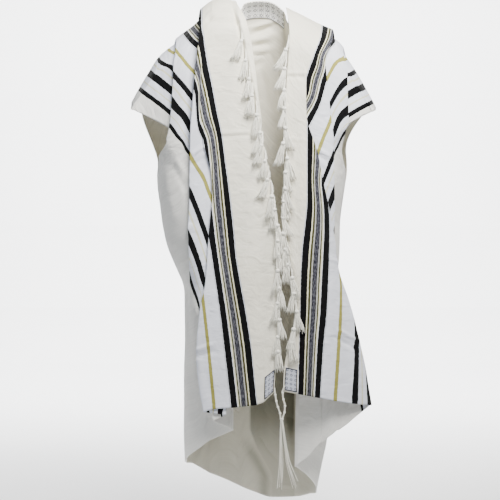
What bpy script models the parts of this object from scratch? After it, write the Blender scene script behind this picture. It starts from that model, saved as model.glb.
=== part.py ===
"""Tallit prayer shawl, hung in the shape it has when worn, with no wearer.

One woven rectangle about 1.80 m by 1.35 m. Its plain middle hangs down the back. Each striped
end lies over a shoulder in knife pleats, with its fringed edge down the middle of the front.
Metres, +Z up, the front faces -Y. The origin is the middle of the shoulders, where it is held.

The tables place the folds on the front view in view units, across and down from its top left.
One unit is 2.7 mm at the plane of the shoulders. A point nearer the viewer is drawn in by its
depth, because the front view was seen from VIEW_AWAY.
"""
import math

import bpy
import numpy as np

UNIT = 0.0027
ORIGIN_ACROSS = 255.0
ORIGIN_DOWN = 22.0
VIEW_AWAY = 3.0
VIEW_ACROSS = 250.0
VIEW_DOWN = 250.0

WALL = 0.0015
SEAM_GAP = 0.0003
PLY_STEP = 0.005
FOLD_UNITS = 0.95
SIDE_ROUND = 31.0
SEAM_TURN = 0.2
BAND_WALL = 0.0012
BAND_COLUMNS = 5
EDGE_CURL = 0.0015
TASSEL_LENGTH = 19.5
STRIP_RADIUS = 0.0016
FIRST_TASSEL = {"left": 0.15, "right": 0.19}
FIRST_REAR_TASSEL = 0.07
LAST_TASSEL = 0.045

CLOTH_WHITE = (0.80, 0.80, 0.83, 1.0)
BAND_GREY = (0.72, 0.72, 0.72, 1.0)
FRINGE_CREAM = (0.86, 0.84, 0.74, 1.0)

# Fold lines of each end: how far across each line is at each distance down.
# down, fringed edge, outer fold, its valley, last fold, inner seam, strength of fold and of valley
FOLDS = {
    "left": np.array([
        (0, 235, 214, 210.5, 200, 208, 0, 0),
        (21, 245, 211, 207.5, 200, 208, 0, 0),
        (45, 251, 208, 204.5, 198, 208, 0, 0),
        (66, 254, 206, 202.5, 195, 209, 0, 0),
        (85, 256.5, 205, 201.5, 193.4, 209.5, 0, 0),
        (103, 258.5, 204, 200.5, 192, 209.3, 0, 0),
        (120, 261, 204, 200.5, 190.4, 212, 0, 0),
        (138, 262, 204.5, 203.5, 189.7, 215, 0.6, 0.6),
        (147, 263, 205.5, 204.5, 189.4, 216, 0.65, 0.65),
        (160, 266, 208.5, 212, 189, 218, 1, 1),
        (171, 268, 211.3, 216, 188.8, 220, 1, 1),
        (197, 273.3, 212.6, 221, 188.5, 222, 1, 1),
        (226, 277, 209.7, 223, 187.2, 223, 1, 1),
        (243, 277.3, 208, 224, 186.8, 224, 1, 1),
        (262, 277.6, 207, 225.5, 186.7, 225, 1, 1),
        (285, 278, 205, 227, 184.6, 228, 1, 1),
        (305, 278, 199.6, 227, 190, 229, 1, 1),
        (330, 278, 197, 227, 203, 230, 1, 1),
        (360, 276.5, 195.2, 226.5, 208, 231, 1, 1),
        (385, 274.5, 198.3, 226, 210, 231.5, 1, 1),
        (412, 274, 203, 226, 212, 232, 1, 1),
        (430, 274, 206, 226, 214, 232, 1, 1),
    ]),
    "right": np.array([
        (5, 286, 308, 311.5, 333, 329, 0, 0),
        (24, 290, 308, 311.5, 333.5, 328, 0, 0),
        (40, 289.5, 307, 310.5, 333, 327, 0, 0),
        (60, 288, 306.5, 310, 325, 319, 0, 0),
        (78, 286.7, 306, 307.5, 326.5, 319, 0.6, 0.6),
        (88, 286.3, 306, 306.5, 328, 319, 0.65, 0.65),
        (103, 285.5, 306, 298, 330, 320, 1, 1),
        (122, 285, 306.5, 293, 332.5, 319, 1, 1),
        (137, 286, 313.5, 298, 334.7, 317, 1, 1),
        (150, 286.5, 318.3, 301, 336, 315, 1, 1),
        (171, 285, 322, 303.5, 337.3, 314.5, 1, 1),
        (186, 284.5, 325.5, 304, 338, 314, 1, 1),
        (203, 282, 330, 304.3, 339, 315, 1, 1),
        (218, 282.5, 334, 304.5, 339.7, 317, 1, 1),
        (235, 284, 337, 308, 340, 318, 1, 1),
        (252, 288, 339.5, 326, 327, 316, 1, 0.6),
        (262, 291, 341, 327.5, 326.5, 312, 1, 0.55),
        (285, 296, 350, 332, 323, 308, 1, 0),
        (310, 297, 356.5, 334, 324, 304, 1, 0),
        (330, 293, 361, 335, 323, 301.5, 1, 0),
        (360, 285, 367.5, 338, 324, 299.5, 1, 0),
        (385, 283, 371.5, 340, 325, 298, 1, 0),
        (405, 285, 375, 342, 326, 297, 1, 0),
        (466, 285, 375, 342, 326, 296, 1, 0),
    ]),
}
# How far down the front hem and the rear hem are at each of the five lines.
FRONT_HEM = {"left": (392, 412, 415, 421, 430), "right": (391.5, 405, 430, 443, 466)}
REAR_HEM = {"left": (128, 125, 124, 122, 124), "right": (128, 126, 126, 124, 125)}
# The front hem between the fringed edge and the outer fold: share of the width, down.
HEM_LINE = {
    "left": np.array([(0, 392), (0.17, 403.5), (0.24, 405), (0.62, 408), (0.87, 409), (1, 412)]),
    "right": np.array([(0, 391.5), (0.15, 394), (0.4, 398), (0.57, 401), (0.77, 404), (1, 405)]),
}
# Top of the shoulders, outermost ply: across, down.
RIDGE = {
    "left": np.array([
        (262, -6), (250, -5.5), (241, -2), (236, 2), (224, -2), (212, 0), (203, 7), (187.4, 20),
        (177.4, 27.4), (167.4, 35), (161, 39), (148.6, 50), (137.6, 68), (125.6, 88),
        (119.6, 100), (110, 118),
    ]),
    "right": np.array([
        (248, -5.5), (262, -6), (272, -5), (280, 0), (286.5, 8), (299, 13.5), (317, 23),
        (330, 28.5), (342.4, 33.5), (353, 46.6), (364, 62), (374, 79), (384.5, 98), (390, 110),
    ]),
}
# Where the cloth turns round the side: down, across, for the outer plies and for the back.
SIDE_FRONT = {
    "left": np.array([
        (0, 20), (100, 84), (112, 98), (140, 132), (162, 148), (192, 150), (222, 154), (243, 159),
        (255, 163), (288, 176), (463, 178),
    ]),
    "right": np.array([
        (0, 470), (100, 420), (110, 408), (130, 373), (146, 359), (165, 357), (182, 354),
        (202, 351), (222, 348), (240, 347.5), (250, 348), (262, 350), (272, 353), (286, 358),
        (310, 364), (338, 371), (360, 375), (405, 382), (470, 384),
    ]),
}
SIDE_BACK = {
    "left": np.array([
        (0, 98), (96, 102), (120, 124), (162, 148), (192, 150), (222, 154), (243, 159), (255, 163),
        (288, 176), (463, 178),
    ]),
    "right": np.array([
        (0, 410), (96, 406), (112, 390), (132, 369), (146, 359), (165, 357), (182, 354), (202, 351),
        (222, 348), (240, 347), (262, 346), (300, 342), (360, 337), (443, 333), (470, 328),
        (496, 323),
    ]),
}
# Depth in front of the shoulders: down, outer plies, inner plies.
DEPTH_FRONT = {
    "left": np.array([(0, 0.125, 0.125), (100, 0.14, 0.14), (300, 0.14, 0.14), (430, 0.145, 0.115)]),
    "right": np.array([
        (0, 0.125, 0.125), (100, 0.14, 0.14), (262, 0.14, 0.14), (330, 0.14, 0.105),
        (400, 0.145, 0.075), (466, 0.145, 0.062),
    ]),
}
DEPTH_BACK = np.array([(0, 0.10), (100, 0.125), (250, 0.12), (497, 0.14)])
# The side drape's outer fold above the place where it turns the side: down, across.
SIDE_FOLD = {
    "left": np.array([(38, 171), (70, 171), (90, 170), (118, 168), (131, 166), (150, 160), (162, 155)]),
    "right": np.array([(40, 350), (67, 349.5), (108, 351), (133, 351.5), (150, 351)]),
}
TURN_FROM = {"left": 142.0, "right": 150.0}
TURN_TO = {"left": 190.0, "right": 196.0}
SIDE_HEM = {"left": 462.0, "right": 494.0}
SIDE_REAR_HEM = {"left": 118.0, "right": 118.0}
# The arm flap: across at its hidden edge and its tip, down at its front, rear and tip ends.
FLAP = {
    "left": {"inner": 174.5, "tip": 121.0, "front": 133.0, "rear": 110.0, "tip_down": 104.0},
    "right": {"inner": 346.5, "tip": 386.0, "front": 140.0, "rear": 112.0, "tip_down": 106.0},
}
# The back hem: across, down.
BACK_HEM = np.array([(176, 462), (218, 476), (247, 489), (270, 497), (316, 496), (330, 494)])
# Where the fringe tassels end, across from the fringed edge: down, across.
TASSEL_LEAN = {
    "left": np.array([(24, -9), (100, -8), (160, -7), (200, -5), (240, -4), (290, 5), (340, -4), (385, -8)]),
    "right": np.array([(24, -12), (70, -12), (110, -3), (150, 4), (240, 7), (285, 4), (320, -6), (385, -7)]),
}
TASSELS_FRONT = {"left": 18, "right": 16}
# How far each front corner tassel hangs in front of the cloth, from its corner to its ends.
HANG_LEFT = np.array([0.0055, 0.018, 0.020, 0.019, 0.019, 0.019, 0.019])
HANG_RIGHT = np.array([0.0055, 0.020, 0.026, 0.031, 0.031, 0.031, 0.031])
HANG_REAR = np.array([0.0072, 0.019, 0.020, 0.019, 0.019])
TASSELS_REAR = 5

ROWS_REAR = (-2.0, -1.5, -1.0, -0.8, -0.6, -0.4, -0.2)
ROWS_FRONT = tuple(1.0 + i / 14 for i in range(1, 15))
ROWS = ROWS_REAR + (0.0, 0.2, 0.4, 0.6, 0.8, 1.0) + ROWS_FRONT
FLAP_ROWS = ROWS_REAR + (0.0, 0.2, 0.4, 0.6, 0.8, 1.0, 1.35, 1.7, 2.0)
FRONT_PART = slice(len(ROWS_REAR), None)
REAR_PART = slice(len(ROWS_REAR), None, -1)

SIGN = {"left": -1.0, "right": 1.0}


def eased(x):
    """0 to 1 with no kink at either end."""
    x = np.clip(x, 0.0, 1.0)
    return x * x * (3.0 - 2.0 * x)


def read(table, at, column=1, soft=5.0):
    """A table's column at a place, with its corners rounded over a few units."""
    keys = table[:, 0]
    values = table[:, column]
    if keys[0] > keys[-1]:
        keys = keys[::-1]
        values = values[::-1]
    parts = [np.interp(at + step, keys, values) for step in (-soft, 0.0, soft)]
    return (parts[0] + 2.0 * parts[1] + parts[2]) / 4.0


def outward(side, across):
    """Units outward from the middle line, on that side."""
    return SIGN[side] * (across - ORIGIN_ACROSS)


def ridge(side, out):
    """How far down the top of the shoulder is, that far outward."""
    return read(RIDGE[side], ORIGIN_ACROSS + SIGN[side] * out, soft=4.0)


def round_over(out):
    """Radius of the cloth over the shoulder, in units."""
    return 37.0 - 11.0 * eased((out - 40.0) / 80.0)


def slimmer(out):
    return 1.0 - 0.33 * eased((out - 55.0) / 75.0)


def body(side, out, down, rear, side_table, depth_column):
    """The figure under the cloth as a level set, from 0 on its middle sheet to 1 on its surface."""
    turn = np.clip(1.0 - (outward(side, read(side_table, down)) - out) / SIDE_ROUND, 0.0, None)
    over = np.clip(1.0 - (down - ridge(side, out)) / round_over(out), 0.0, None)
    front = read(DEPTH_FRONT[side], down, depth_column, 10.0)
    back = read(DEPTH_BACK, down, 1, 10.0)
    depth = np.where(rear, back, front) * slimmer(out)
    return turn, over, depth


def level(side, out, y, down, rear, side_table, depth_column):
    turn, over, depth = body(side, out, down, rear, side_table, depth_column)
    return (y / depth) ** 2 + turn**2 + over**2


def place(side, lateral, down, lift, rear=False, inner=False, back_side=False):
    """Points on the worn cloth, lifted off the figure, in metres.

    lateral runs outward in units. Past the place where the side begins to turn it goes on round
    the side, and SIDE_ROUND units are one radian.
    """
    lateral, down, lift = np.broadcast_arrays(lateral, down, lift)
    lateral = np.asarray(lateral, float)
    down = np.asarray(down, float)
    table = SIDE_BACK[side] if back_side else SIDE_FRONT[side]
    column = 2 if inner else 1
    start = outward(side, read(table, down)) - SIDE_ROUND
    angle = np.clip((lateral - start) / SIDE_ROUND, 0.0, math.pi)
    flat = np.minimum(lateral, start)
    out = flat + SIDE_ROUND * np.sin(angle)
    behind = (angle > math.pi / 2) | rear
    turn, over, depth = body(side, out, down, behind, table, column)
    y = depth * np.sqrt(np.clip(1.0 - turn**2 - over**2, 0.0, 1.0))
    y = np.where(behind, y, -y)
    step = 0.2
    args = (behind, table, column)
    slope = np.stack([
        (level(side, out + step, y, down, *args) - level(side, out - step, y, down, *args))
        / (2 * step * UNIT),
        2 * y / depth**2,
        (level(side, out, y, down - step, *args) - level(side, out, y, down + step, *args))
        / (2 * step * UNIT),
    ], axis=-1)
    slope /= np.maximum(np.linalg.norm(slope, axis=-1, keepdims=True), 1e-9)
    x = out * UNIT * SIGN[side]
    z = (ORIGIN_DOWN - down) * UNIT
    slope[..., 0] *= SIGN[side]
    return np.stack([x, y, z], axis=-1) + slope * lift[..., None]


def seen(points):
    """The same points, drawn towards or away from the view's axis by their depth."""
    points = np.array(points, float)
    axis_x = (VIEW_ACROSS - ORIGIN_ACROSS) * UNIT
    axis_z = (ORIGIN_DOWN - VIEW_DOWN) * UNIT
    grow = 1.0 + points[..., 1] / VIEW_AWAY
    points[..., 0] = axis_x + (points[..., 0] - axis_x) * grow
    points[..., 2] = axis_z + (points[..., 2] - axis_z) * grow
    return points


def down_at(top, hem, radius, row):
    """How far down a row is: 0 to 1 goes over the shoulder, 1 to 2 straight to the hem."""
    if row <= 1.0:
        return top + radius * (1.0 - math.cos(row * math.pi / 2))
    return top + radius + (hem - top - radius) * (row - 1.0)


def over_top(row):
    """How closely a row follows the top of the shoulder: 1 over it, 0 at the hem."""
    return min(1.0, max(0.0, 2.0 - abs(row)))


def settled(side, outs, downs, base, row):
    """Distances down of points beside a fold line, kept level with it over the shoulder."""
    return np.asarray(downs) + (ridge(side, np.asarray(outs)) - np.asarray(base)) * over_top(row)


def lines_at(side, row):
    """The five fold lines where a row crosses them: outward, down, fold strength, valley strength."""
    table = FOLDS[side]
    rear = row < 0
    hems = REAR_HEM[side] if rear else FRONT_HEM[side]
    outs = []
    downs = []
    for column, hem in zip(range(1, 6), hems):
        first = outward(side, table[0, column])
        top = ridge(side, first)
        down = down_at(top, hem, round_over(first), abs(row))
        at = table[0, 0] if rear else down
        out = outward(side, read(table, at, column)) + (4.0 * -row if rear else 0.0)
        outs.append(out)
        downs.append(down + (ridge(side, out) - top) * over_top(row))
    at = table[0, 0] if rear else downs[1]
    return outs, downs, read(table, at, 6), read(table, at, 7)


def front_row(side, row):
    """One row of a striped end, from its fringed edge through the pleats to its inner seam."""
    (edge, fold, valley, last, seam), downs, strong, deep = lines_at(side, row)
    rear = row < 0
    bend = FOLD_UNITS
    back_on = 1.0 - 2.0 * (strong - deep)
    last_on = 1.0 - strong + deep
    share = np.array([0.0, 0.05, 0.13, 0.33, 0.55, 0.78, 0.92])
    outs = list(edge + (fold - bend - edge) * share)
    line = downs[0] + (downs[1] - downs[0]) * share
    if row > 1.0:
        hem = read(HEM_LINE[side], share, 1, 0.02)
        straight = HEM_LINE[side][0, 1] + (HEM_LINE[side][-1, 1] - HEM_LINE[side][0, 1]) * share
        line = line + (hem - straight) * (row - 1.0)
    tops = [ridge(side, out) for out in (edge, fold, valley, last, seam)]
    base = list(tops[0] + (tops[1] - tops[0]) * share)
    line = list(line)
    lifts = list(-EDGE_CURL * np.clip(1.0 - share / 0.1, 0.0, 1.0) ** 2)
    gain = float(np.diff(np.array([read(DEPTH_FRONT[side], downs[4], c, 10.0) for c in (2, 1)]))[0])
    gain = 0.0 if rear else gain
    free = 1.0 - deep
    rest = [
        (fold - bend, downs[1], 0.0, 0.0),
        (fold, downs[1], 0.5 * strong, 0.0),
        (fold + bend * (1 - 2 * strong), downs[1], strong, 0.0),
        (valley + bend * (2 * strong - 1), downs[2], strong, 0.35 * free * strong),
        (valley, downs[2], strong + 0.5 * deep, 0.35 * free * strong),
        (valley + bend * back_on, downs[2], strong + deep, 0.35 * free * strong),
        ((2 * valley + last) / 3, (2 * downs[2] + downs[3]) / 3, strong + deep, 0.4 * free * strong),
        ((valley + 2 * last) / 3, (downs[2] + 2 * downs[3]) / 3, strong + deep, 0.5 * free * strong),
        (last - bend * back_on, downs[3], strong + deep, 0.6 * free * strong),
        (last, downs[3], strong + deep + 0.5 * last_on, 0.6 * free * strong),
        (last - bend, downs[3], strong + deep + last_on, 0.6 * free * strong),
        ((2 * last + seam) / 3, (2 * downs[3] + downs[4]) / 3, strong + deep + last_on, 0.35 + 0.4 * free * strong),
        ((last + 2 * seam) / 3, (downs[3] + 2 * downs[4]) / 3, strong + deep + last_on, 0.7 + 0.2 * free * strong),
        (seam, downs[4], strong + deep + last_on, 1.0),
    ]
    base += [tops[k] for k in (1, 1, 1, 2, 2, 2)]
    base += [(2 * tops[2] + tops[3]) / 3, (tops[2] + 2 * tops[3]) / 3] + [tops[3]] * 3
    base += [(2 * tops[3] + tops[4]) / 3, (tops[3] + 2 * tops[4]) / 3, tops[4]]
    outs += [r[0] for r in rest]
    line = settled(side, outs, line + [r[1] for r in rest], base, row)
    lifts += [-PLY_STEP * r[2] - gain * r[3] for r in rest]
    return place(side, np.array(outs), np.array(line), np.array(lifts), rear=rear)


def side_row(side, row, from_end, along):
    """One row of the side drape, from the inner seam to its outer fold or round the side."""
    rear = row < 0
    lines, downs, strong, deep = lines_at(side, row)
    start_out = lines[4]
    start_down = downs[4]
    first = outward(side, SIDE_FOLD[side][0, 1])
    hem = SIDE_REAR_HEM[side] if rear else SIDE_HEM[side]
    top = ridge(side, first)
    down = down_at(top, hem, round_over(first), abs(row))
    at = SIDE_FOLD[side][0, 0] if rear else down
    fold = outward(side, read(SIDE_FOLD[side], at)) + (4.0 * -row if rear else 0.0)
    down = down + (ridge(side, fold) - top) * over_top(row) * (1.0 if abs(row) <= 1.0 else 0.3)
    turned = 0.0 if rear else float(eased((down - TURN_FROM[side]) / (TURN_TO[side] - TURN_FROM[side])))
    edge = outward(side, read(SIDE_BACK[side], down)) - SIDE_ROUND
    fold = (1 - turned) * fold + turned * (edge + SIDE_ROUND * math.pi / 2)
    end = (1 - turned) * (fold - 5.0) + turned * (edge + SIDE_ROUND * (math.pi / 2 + SEAM_TURN))
    folded = 1.0 - turned
    bend = FOLD_UNITS
    share = np.array([0.12, 0.3, 0.55, 0.8])
    outs = list(start_out + (fold - bend - start_out) * share)
    outs += [fold - bend, fold, fold + bend * (1 - 2 * folded), end]
    at_downs = list(start_down + (down - start_down) * share) + [down] * 4
    lifts = [-5.0, -5.0, -4.9, -4.4] + [-4.3, -4.3 - 0.5 * folded, -4.3 - folded, -4.3 - folded]
    outs = np.array(outs)
    ends = ridge(side, start_out), ridge(side, fold)
    base = list(ends[0] + (ends[1] - ends[0]) * share) + [ends[1]] * 4
    tucked = np.minimum(outs, fold)
    at_downs = settled(side, tucked, at_downs, base, row)
    lifts = np.array(lifts) * PLY_STEP
    use_back = turned > 0.0
    points = place(side, outs, at_downs, lifts, rear=rear, inner=True, back_side=use_back)
    under = place(side, start_out, start_down, -4.3 * PLY_STEP, rear=rear, inner=True, back_side=use_back)
    run = np.linalg.norm(along)
    seam_start = from_end + along / run * SEAM_GAP
    away = place(side, start_out, start_down, -0.001, rear=rear) - place(side, start_out, start_down, 0.0, rear=rear)
    away = away / np.linalg.norm(away)
    straight = seam_start + along / run * 0.0018
    bend_mid = straight + along / run * 0.0024 + away * PLY_STEP * 0.85
    bend_end = straight + away * PLY_STEP * 1.7
    fade = np.concatenate([(1 - share) ** 2, np.zeros(4)])
    points = points + (bend_end - under)[None, :] * fade[:, None]
    return np.concatenate([[seam_start, straight, bend_mid, bend_end], points])


def ends_grid(side):
    """Grids of points for a striped end and for the side drape that goes on from it."""
    front = np.array([front_row(side, row) for row in ROWS])
    drape = np.array([
        side_row(side, row, front[i, -1], front[i, -1] - front[i, -2]) for i, row in enumerate(ROWS)
    ])
    return front, drape


def flap_grid(side):
    """The fold over the upper arm: rows from its rear lower edge over the ridge to its front one."""
    flap = FLAP[side]
    inner = outward(side, flap["inner"])
    tip = outward(side, flap["tip"])
    share = np.array([0.0, 0.1, 0.25, 0.45, 0.7, 1.0])
    out = inner + (tip - inner) * share
    top = ridge(side, out)
    rows = []
    for row in FLAP_ROWS:
        low = flap["rear"] if row < 0 else flap["front"]
        low = low + (flap["tip_down"] - low) * share
        fall = (down_at(top[0], low[0], round_over(inner), abs(row)) - top[0]) / (low[0] - top[0])
        rows.append(place(side, out, top + (low - top) * fall, -6.4 * PLY_STEP, rear=row < 0))
    return np.array(rows)


def back_points(side, share, rows, extra=0.0):
    """The back drape on one side: share 0 is the middle line and 1 the side seam."""
    tip = outward(side, FLAP[side]["tip"]) - 17.0
    top_out = share * tip
    neck = 1.0 - eased((np.abs(top_out - outward(side, 260.0)) - 18.0) / 26.0)
    first = 0.16 + 0.21 * neck + 0.26 * eased((share - 0.72) / 0.25)
    grid = []
    for row in rows:
        at = first + (1.0 - first) * row if row <= 1.0 else np.full_like(share, row)
        radius = round_over(top_out)
        top = ridge(side, top_out)
        guess = top + radius * (1.0 - np.cos(np.minimum(at, 1.0) * math.pi / 2))
        wide = outward(side, read(SIDE_BACK[side], guess))
        if row > 1.0:
            wide_low = outward(side, read(SIDE_BACK[side], 470.0))
            hem = read(BACK_HEM, ORIGIN_ACROSS + SIGN[side] * np.minimum(share * 1.2, 1.0) * wide_low)
            guess = top + radius + (hem - top - radius) * (row - 1.0)
            wide = outward(side, read(SIDE_BACK[side], guess))
        start = wide - SIDE_ROUND
        turn = math.pi / 2 - SEAM_TURN - 0.16 * (1.0 - eased((guess - 150.0) / 30.0))
        end = tip + (start + SIDE_ROUND * turn - tip) * eased((guess - 104.0) / 34.0)
        lateral = share * end
        past = np.maximum(lateral - start, 0.0)
        gap = 2.0 * SEAM_GAP / 0.11 * SIDE_ROUND
        lateral = np.where(past > 0, start + SIDE_ROUND * math.pi - past + gap * share**8, lateral)
        low = eased((guess - 120.0) / 60.0)
        cover = eased((np.abs(top_out - outward(side, 260.0)) - 13.0) / 15.0)
        plies = (0.6 + 7.6 * cover) * (1 - low) + 4.3 * low
        wave = 0.013 * eased((guess - 260.0) / 230.0) * np.cos((SIGN[side] * lateral - 4.0) / 11.0)
        wave = wave * np.clip((start - share * end) / 12.0, 0.0, 1.0)
        lift = -PLY_STEP * plies + wave + extra
        grid.append(place(side, lateral, guess, lift, rear=True, back_side=True))
    return np.array(grid)


BACK_SHARES = np.array([0.0, 0.06, 0.12, 0.17, 0.22, 0.3, 0.4, 0.5, 0.6, 0.7, 0.78, 0.86, 0.93, 1.0])
BACK_ROWS = (0.0, 0.35, 0.7, 1.0) + tuple(1.0 + i / 12 for i in range(1, 13))


def back_grid(rows, shares, extra=0.0):
    """The whole width of the back, from the left seam to the right one."""
    left = back_points("left", shares, rows, extra)
    right = back_points("right", shares, rows, extra)
    middle = (left[:, :1] + right[:, :1]) / 2
    return np.concatenate([left[:, :0:-1], middle, right[:, 1:]], axis=1)


def new_material(name, colour, rough):
    material = bpy.data.materials.new(name)
    material.use_nodes = True
    shader = material.node_tree.nodes["Principled BSDF"]
    shader.inputs["Base Color"].default_value = colour
    shader.inputs["Roughness"].default_value = rough
    shader.inputs["Metallic"].default_value = 0.0
    return material


def add_object(name, points, faces, material, collection, smooth=True):
    mesh = bpy.data.meshes.new(name)
    mesh.from_pydata([tuple(p) for p in points], [], faces)
    mesh.update()
    mesh.polygons.foreach_set("use_smooth", [smooth] * len(mesh.polygons))
    obj = bpy.data.objects.new(name, mesh)
    obj.data.materials.append(material)
    collection.objects.link(obj)
    return obj


def add_sheet(name, grid, material, collection, thick=WALL, offset=0.0):
    """A wall of cloth from a grid of points, thickened evenly on both sides."""
    rows, columns = grid.shape[:2]
    index = np.arange(rows * columns).reshape(rows, columns)
    quads = np.stack([index[:-1, :-1], index[:-1, 1:], index[1:, 1:], index[1:, :-1]], axis=-1)
    obj = add_object(name, seen(grid).reshape(-1, 3), quads.reshape(-1, 4).tolist(), material, collection)
    wall = obj.modifiers.new("wall", "SOLIDIFY")
    wall.thickness = thick
    wall.offset = offset
    wall.use_even_offset = True
    wall.thickness_clamp = 2.0
    return obj


def tube(path, radii, sides, turn=0.0):
    """Points and faces of a closed tube round a path, its rings square to the path."""
    path = np.array(path, float)
    ahead = np.gradient(path, axis=0)
    ahead /= np.linalg.norm(ahead, axis=1, keepdims=True)
    across = np.cross(ahead, np.array([1.0, 0.0, 0.0]))
    across /= np.linalg.norm(across, axis=1, keepdims=True)
    up = np.cross(across, ahead)
    angle = turn + np.arange(sides) * 2 * math.pi / sides
    ring = across[:, None] * np.cos(angle)[None, :, None] + up[:, None] * np.sin(angle)[None, :, None]
    points = (path[:, None] + ring * np.array(radii)[:, None, None]).reshape(-1, 3)
    count = len(path)
    faces = [list(range(sides))[::-1], list(range((count - 1) * sides, count * sides))]
    for i in range(count - 1):
        for j in range(sides):
            k = (j + 1) % sides
            faces.append([i * sides + j, i * sides + k, (i + 1) * sides + k, (i + 1) * sides + j])
    return points, faces


def add_joined(name, tubes, material, collection, cutters, crossing=False):
    """One closed body from a backing and the strands that grow out of it."""
    points, faces = tubes[0]
    obj = add_object(name, points, faces, material, collection)
    all_points = []
    all_faces = []
    for more_points, more_faces in tubes[1:]:
        base = sum(len(p) for p in all_points)
        all_points.append(more_points)
        all_faces += [[base + i for i in face] for face in more_faces]
    strands = add_object(name + "_strands", np.concatenate(all_points), all_faces, material, cutters)
    strands.hide_render = True
    strands.display_type = "WIRE"
    union = obj.modifiers.new("join", "BOOLEAN")
    union.operation = "UNION"
    union.solver = "EXACT"
    union.use_self = crossing
    union.object = strands
    return obj


def edge_at(side, row):
    """Outward and down of the fringed edge at a row, straight between the cloth's own rows."""
    spots = np.array([[lines_at(side, at)[k][0] for k in (0, 1)] for at in ROWS])
    return np.interp(row, ROWS, spots[:, 0]), np.interp(row, ROWS, spots[:, 1])


def strip_line(grid):
    """Middle of the fringe's backing, just off the edge of the cloth that a grid makes."""
    away = grid[:, 0] - grid[:, 1]
    ahead = np.gradient(grid[:, 0], axis=0)
    ahead /= np.linalg.norm(ahead, axis=1, keepdims=True)
    away = away - ahead * np.sum(away * ahead, axis=1, keepdims=True)
    away /= np.linalg.norm(away, axis=1, keepdims=True)
    return grid[:, 0] + away * (SEAM_GAP + STRIP_RADIUS)


def tassel(side, row, root, lean, rear, rng):
    """A knotted fringe tassel: a thin root, a knot and a spreading skirt, hanging from the edge."""
    out, down = edge_at(side, row)
    lean = lean * SIGN[side] + rng.uniform(-1.2, 1.2)
    steps = np.array([0.03, 0.42, 0.5, 0.6, 0.8, 1.0])
    reach = np.array([-0.05, 0.45, 0.55, 0.65, 0.85, 1.0])
    lifts = np.array([0.006, 0.009, 0.009, 0.009, 0.009, 0.009])
    hang = place(side, out - 1.6 + lean * reach, down + TASSEL_LENGTH * steps, lifts, rear=rear)
    radii = np.array([1.1, 1.5, 1.8, 4.0, 1.9, 3.4, 4.4]) * 0.001
    return tube(seen(np.concatenate([[root], hang])), radii, 4, math.pi / 4)


def fringe(name, side, grid, picked, count, rear, material, collection, cutters, rng):
    """A narrow strip along the fringed edge with its tassels."""
    line = strip_line(grid)[picked]
    rows = np.array(ROWS)[picked]
    line[0] = line[0] + (line[1] - line[0]) * 0.03
    parts = [tube(seen(line), [STRIP_RADIUS] * len(line), 4, math.pi / 4)]
    length = np.concatenate([[0.0], np.cumsum(np.linalg.norm(np.diff(line, axis=0), axis=1))])
    first = FIRST_REAR_TASSEL if rear else FIRST_TASSEL[side]
    for spot in np.linspace(first, length[-1] - LAST_TASSEL, count):
        at = np.interp(spot, length, rows)
        root = np.array([np.interp(spot, length, line[:, k]) for k in range(3)])
        down = edge_at(side, at)[1]
        lean = 3.0 * SIGN[side] if rear else float(read(TASSEL_LEAN[side], down))
        parts.append(tassel(side, at, root, lean, rear, rng))
    return add_joined(name, parts, material, collection, cutters)


def laid_on(grid, rows, columns, lift):
    """Points on a sheet's own faces, moved out square to it. Rows and columns count its points."""
    down = np.gradient(grid, axis=0)
    across = np.gradient(grid, axis=1)
    normal = np.cross(across, down)
    normal /= np.maximum(np.linalg.norm(normal, axis=-1, keepdims=True), 1e-12)
    rows = np.asarray(rows, float)[:, None]
    columns = np.asarray(columns, float)[None, :]
    i = np.clip(rows.astype(int), 0, grid.shape[0] - 2)
    j = np.clip(columns.astype(int), 0, grid.shape[1] - 2)
    u = (rows - i)[..., None]
    v = (columns - j)[..., None]

    def mixed(field):
        top = field[i, j] * (1 - v) + field[i, j + 1] * v
        low = field[i + 1, j] * (1 - v) + field[i + 1, j + 1] * v
        return top * (1 - u) + low * u

    out = mixed(normal)
    out /= np.linalg.norm(out, axis=-1, keepdims=True)
    return mixed(grid) + out * lift


def corner_patch(name, side, front, rear, material, collection):
    """A stiff square sewn on a corner, made from the panel's own points moved out."""
    rows = (0.06, 0.5) if rear else (len(ROWS) - 2.2, len(ROWS) - 2.0, len(ROWS) - 1.25)
    columns = (0.15, 1.0, 2.0, 3.0, 4.2) if rear else (0.15, 1.0, 2.0)
    lift = SIGN[side] * (WALL / 2 + SEAM_GAP + 0.0008)
    return add_sheet(name, laid_on(front, rows, columns, lift), material, collection, thick=0.001)


def ritual_tassel(name, path, material, collection, cutters, rng):
    """A corner tassel: a wound cord with knots, and four long strands from its end."""
    path = np.array(path)
    along = np.linspace(0.0, 1.0, 12)
    keys = np.linspace(0.0, 1.0, len(path))
    wound = np.stack([np.interp(along * 0.42, keys, path[:, k]) for k in range(3)], axis=1)
    radii = np.full(12, 0.0019)
    radii[[1, 4, 7, 10]] = 0.0034
    parts = [tube(wound, radii, 5)]
    spread = np.array([(-1.0, 0.3), (-0.35, -0.5), (0.35, 0.5), (1.0, -0.3)])
    below = np.linspace(0.395, 1.0, 6)
    centre = np.stack([np.interp(below, keys, path[:, k]) for k in range(3)], axis=1)
    for i, (x, y) in enumerate(spread):
        strand = centre.copy()
        reach = (below - 0.395) / 0.605
        strand[:, 0] += x * (0.0012 + 0.0075 * reach + 0.002 * np.sin(6.0 * reach + i))
        strand[:, 1] += y * (0.0012 + 0.006 * reach)
        strand[-1, 2] += rng.uniform(-0.008, 0.008)
        parts.append(tube(strand, [0.001] * 6, 3))
    return add_joined(name, parts, material, collection, cutters, crossing=True)


def ritual_path(side, spots, lift, rear):
    """Points of a corner tassel from a table of across and down."""
    spots = np.array(spots)
    out = outward(side, spots[:, 0])
    return seen(place(side, out, spots[:, 1], lift, rear=rear))


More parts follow.
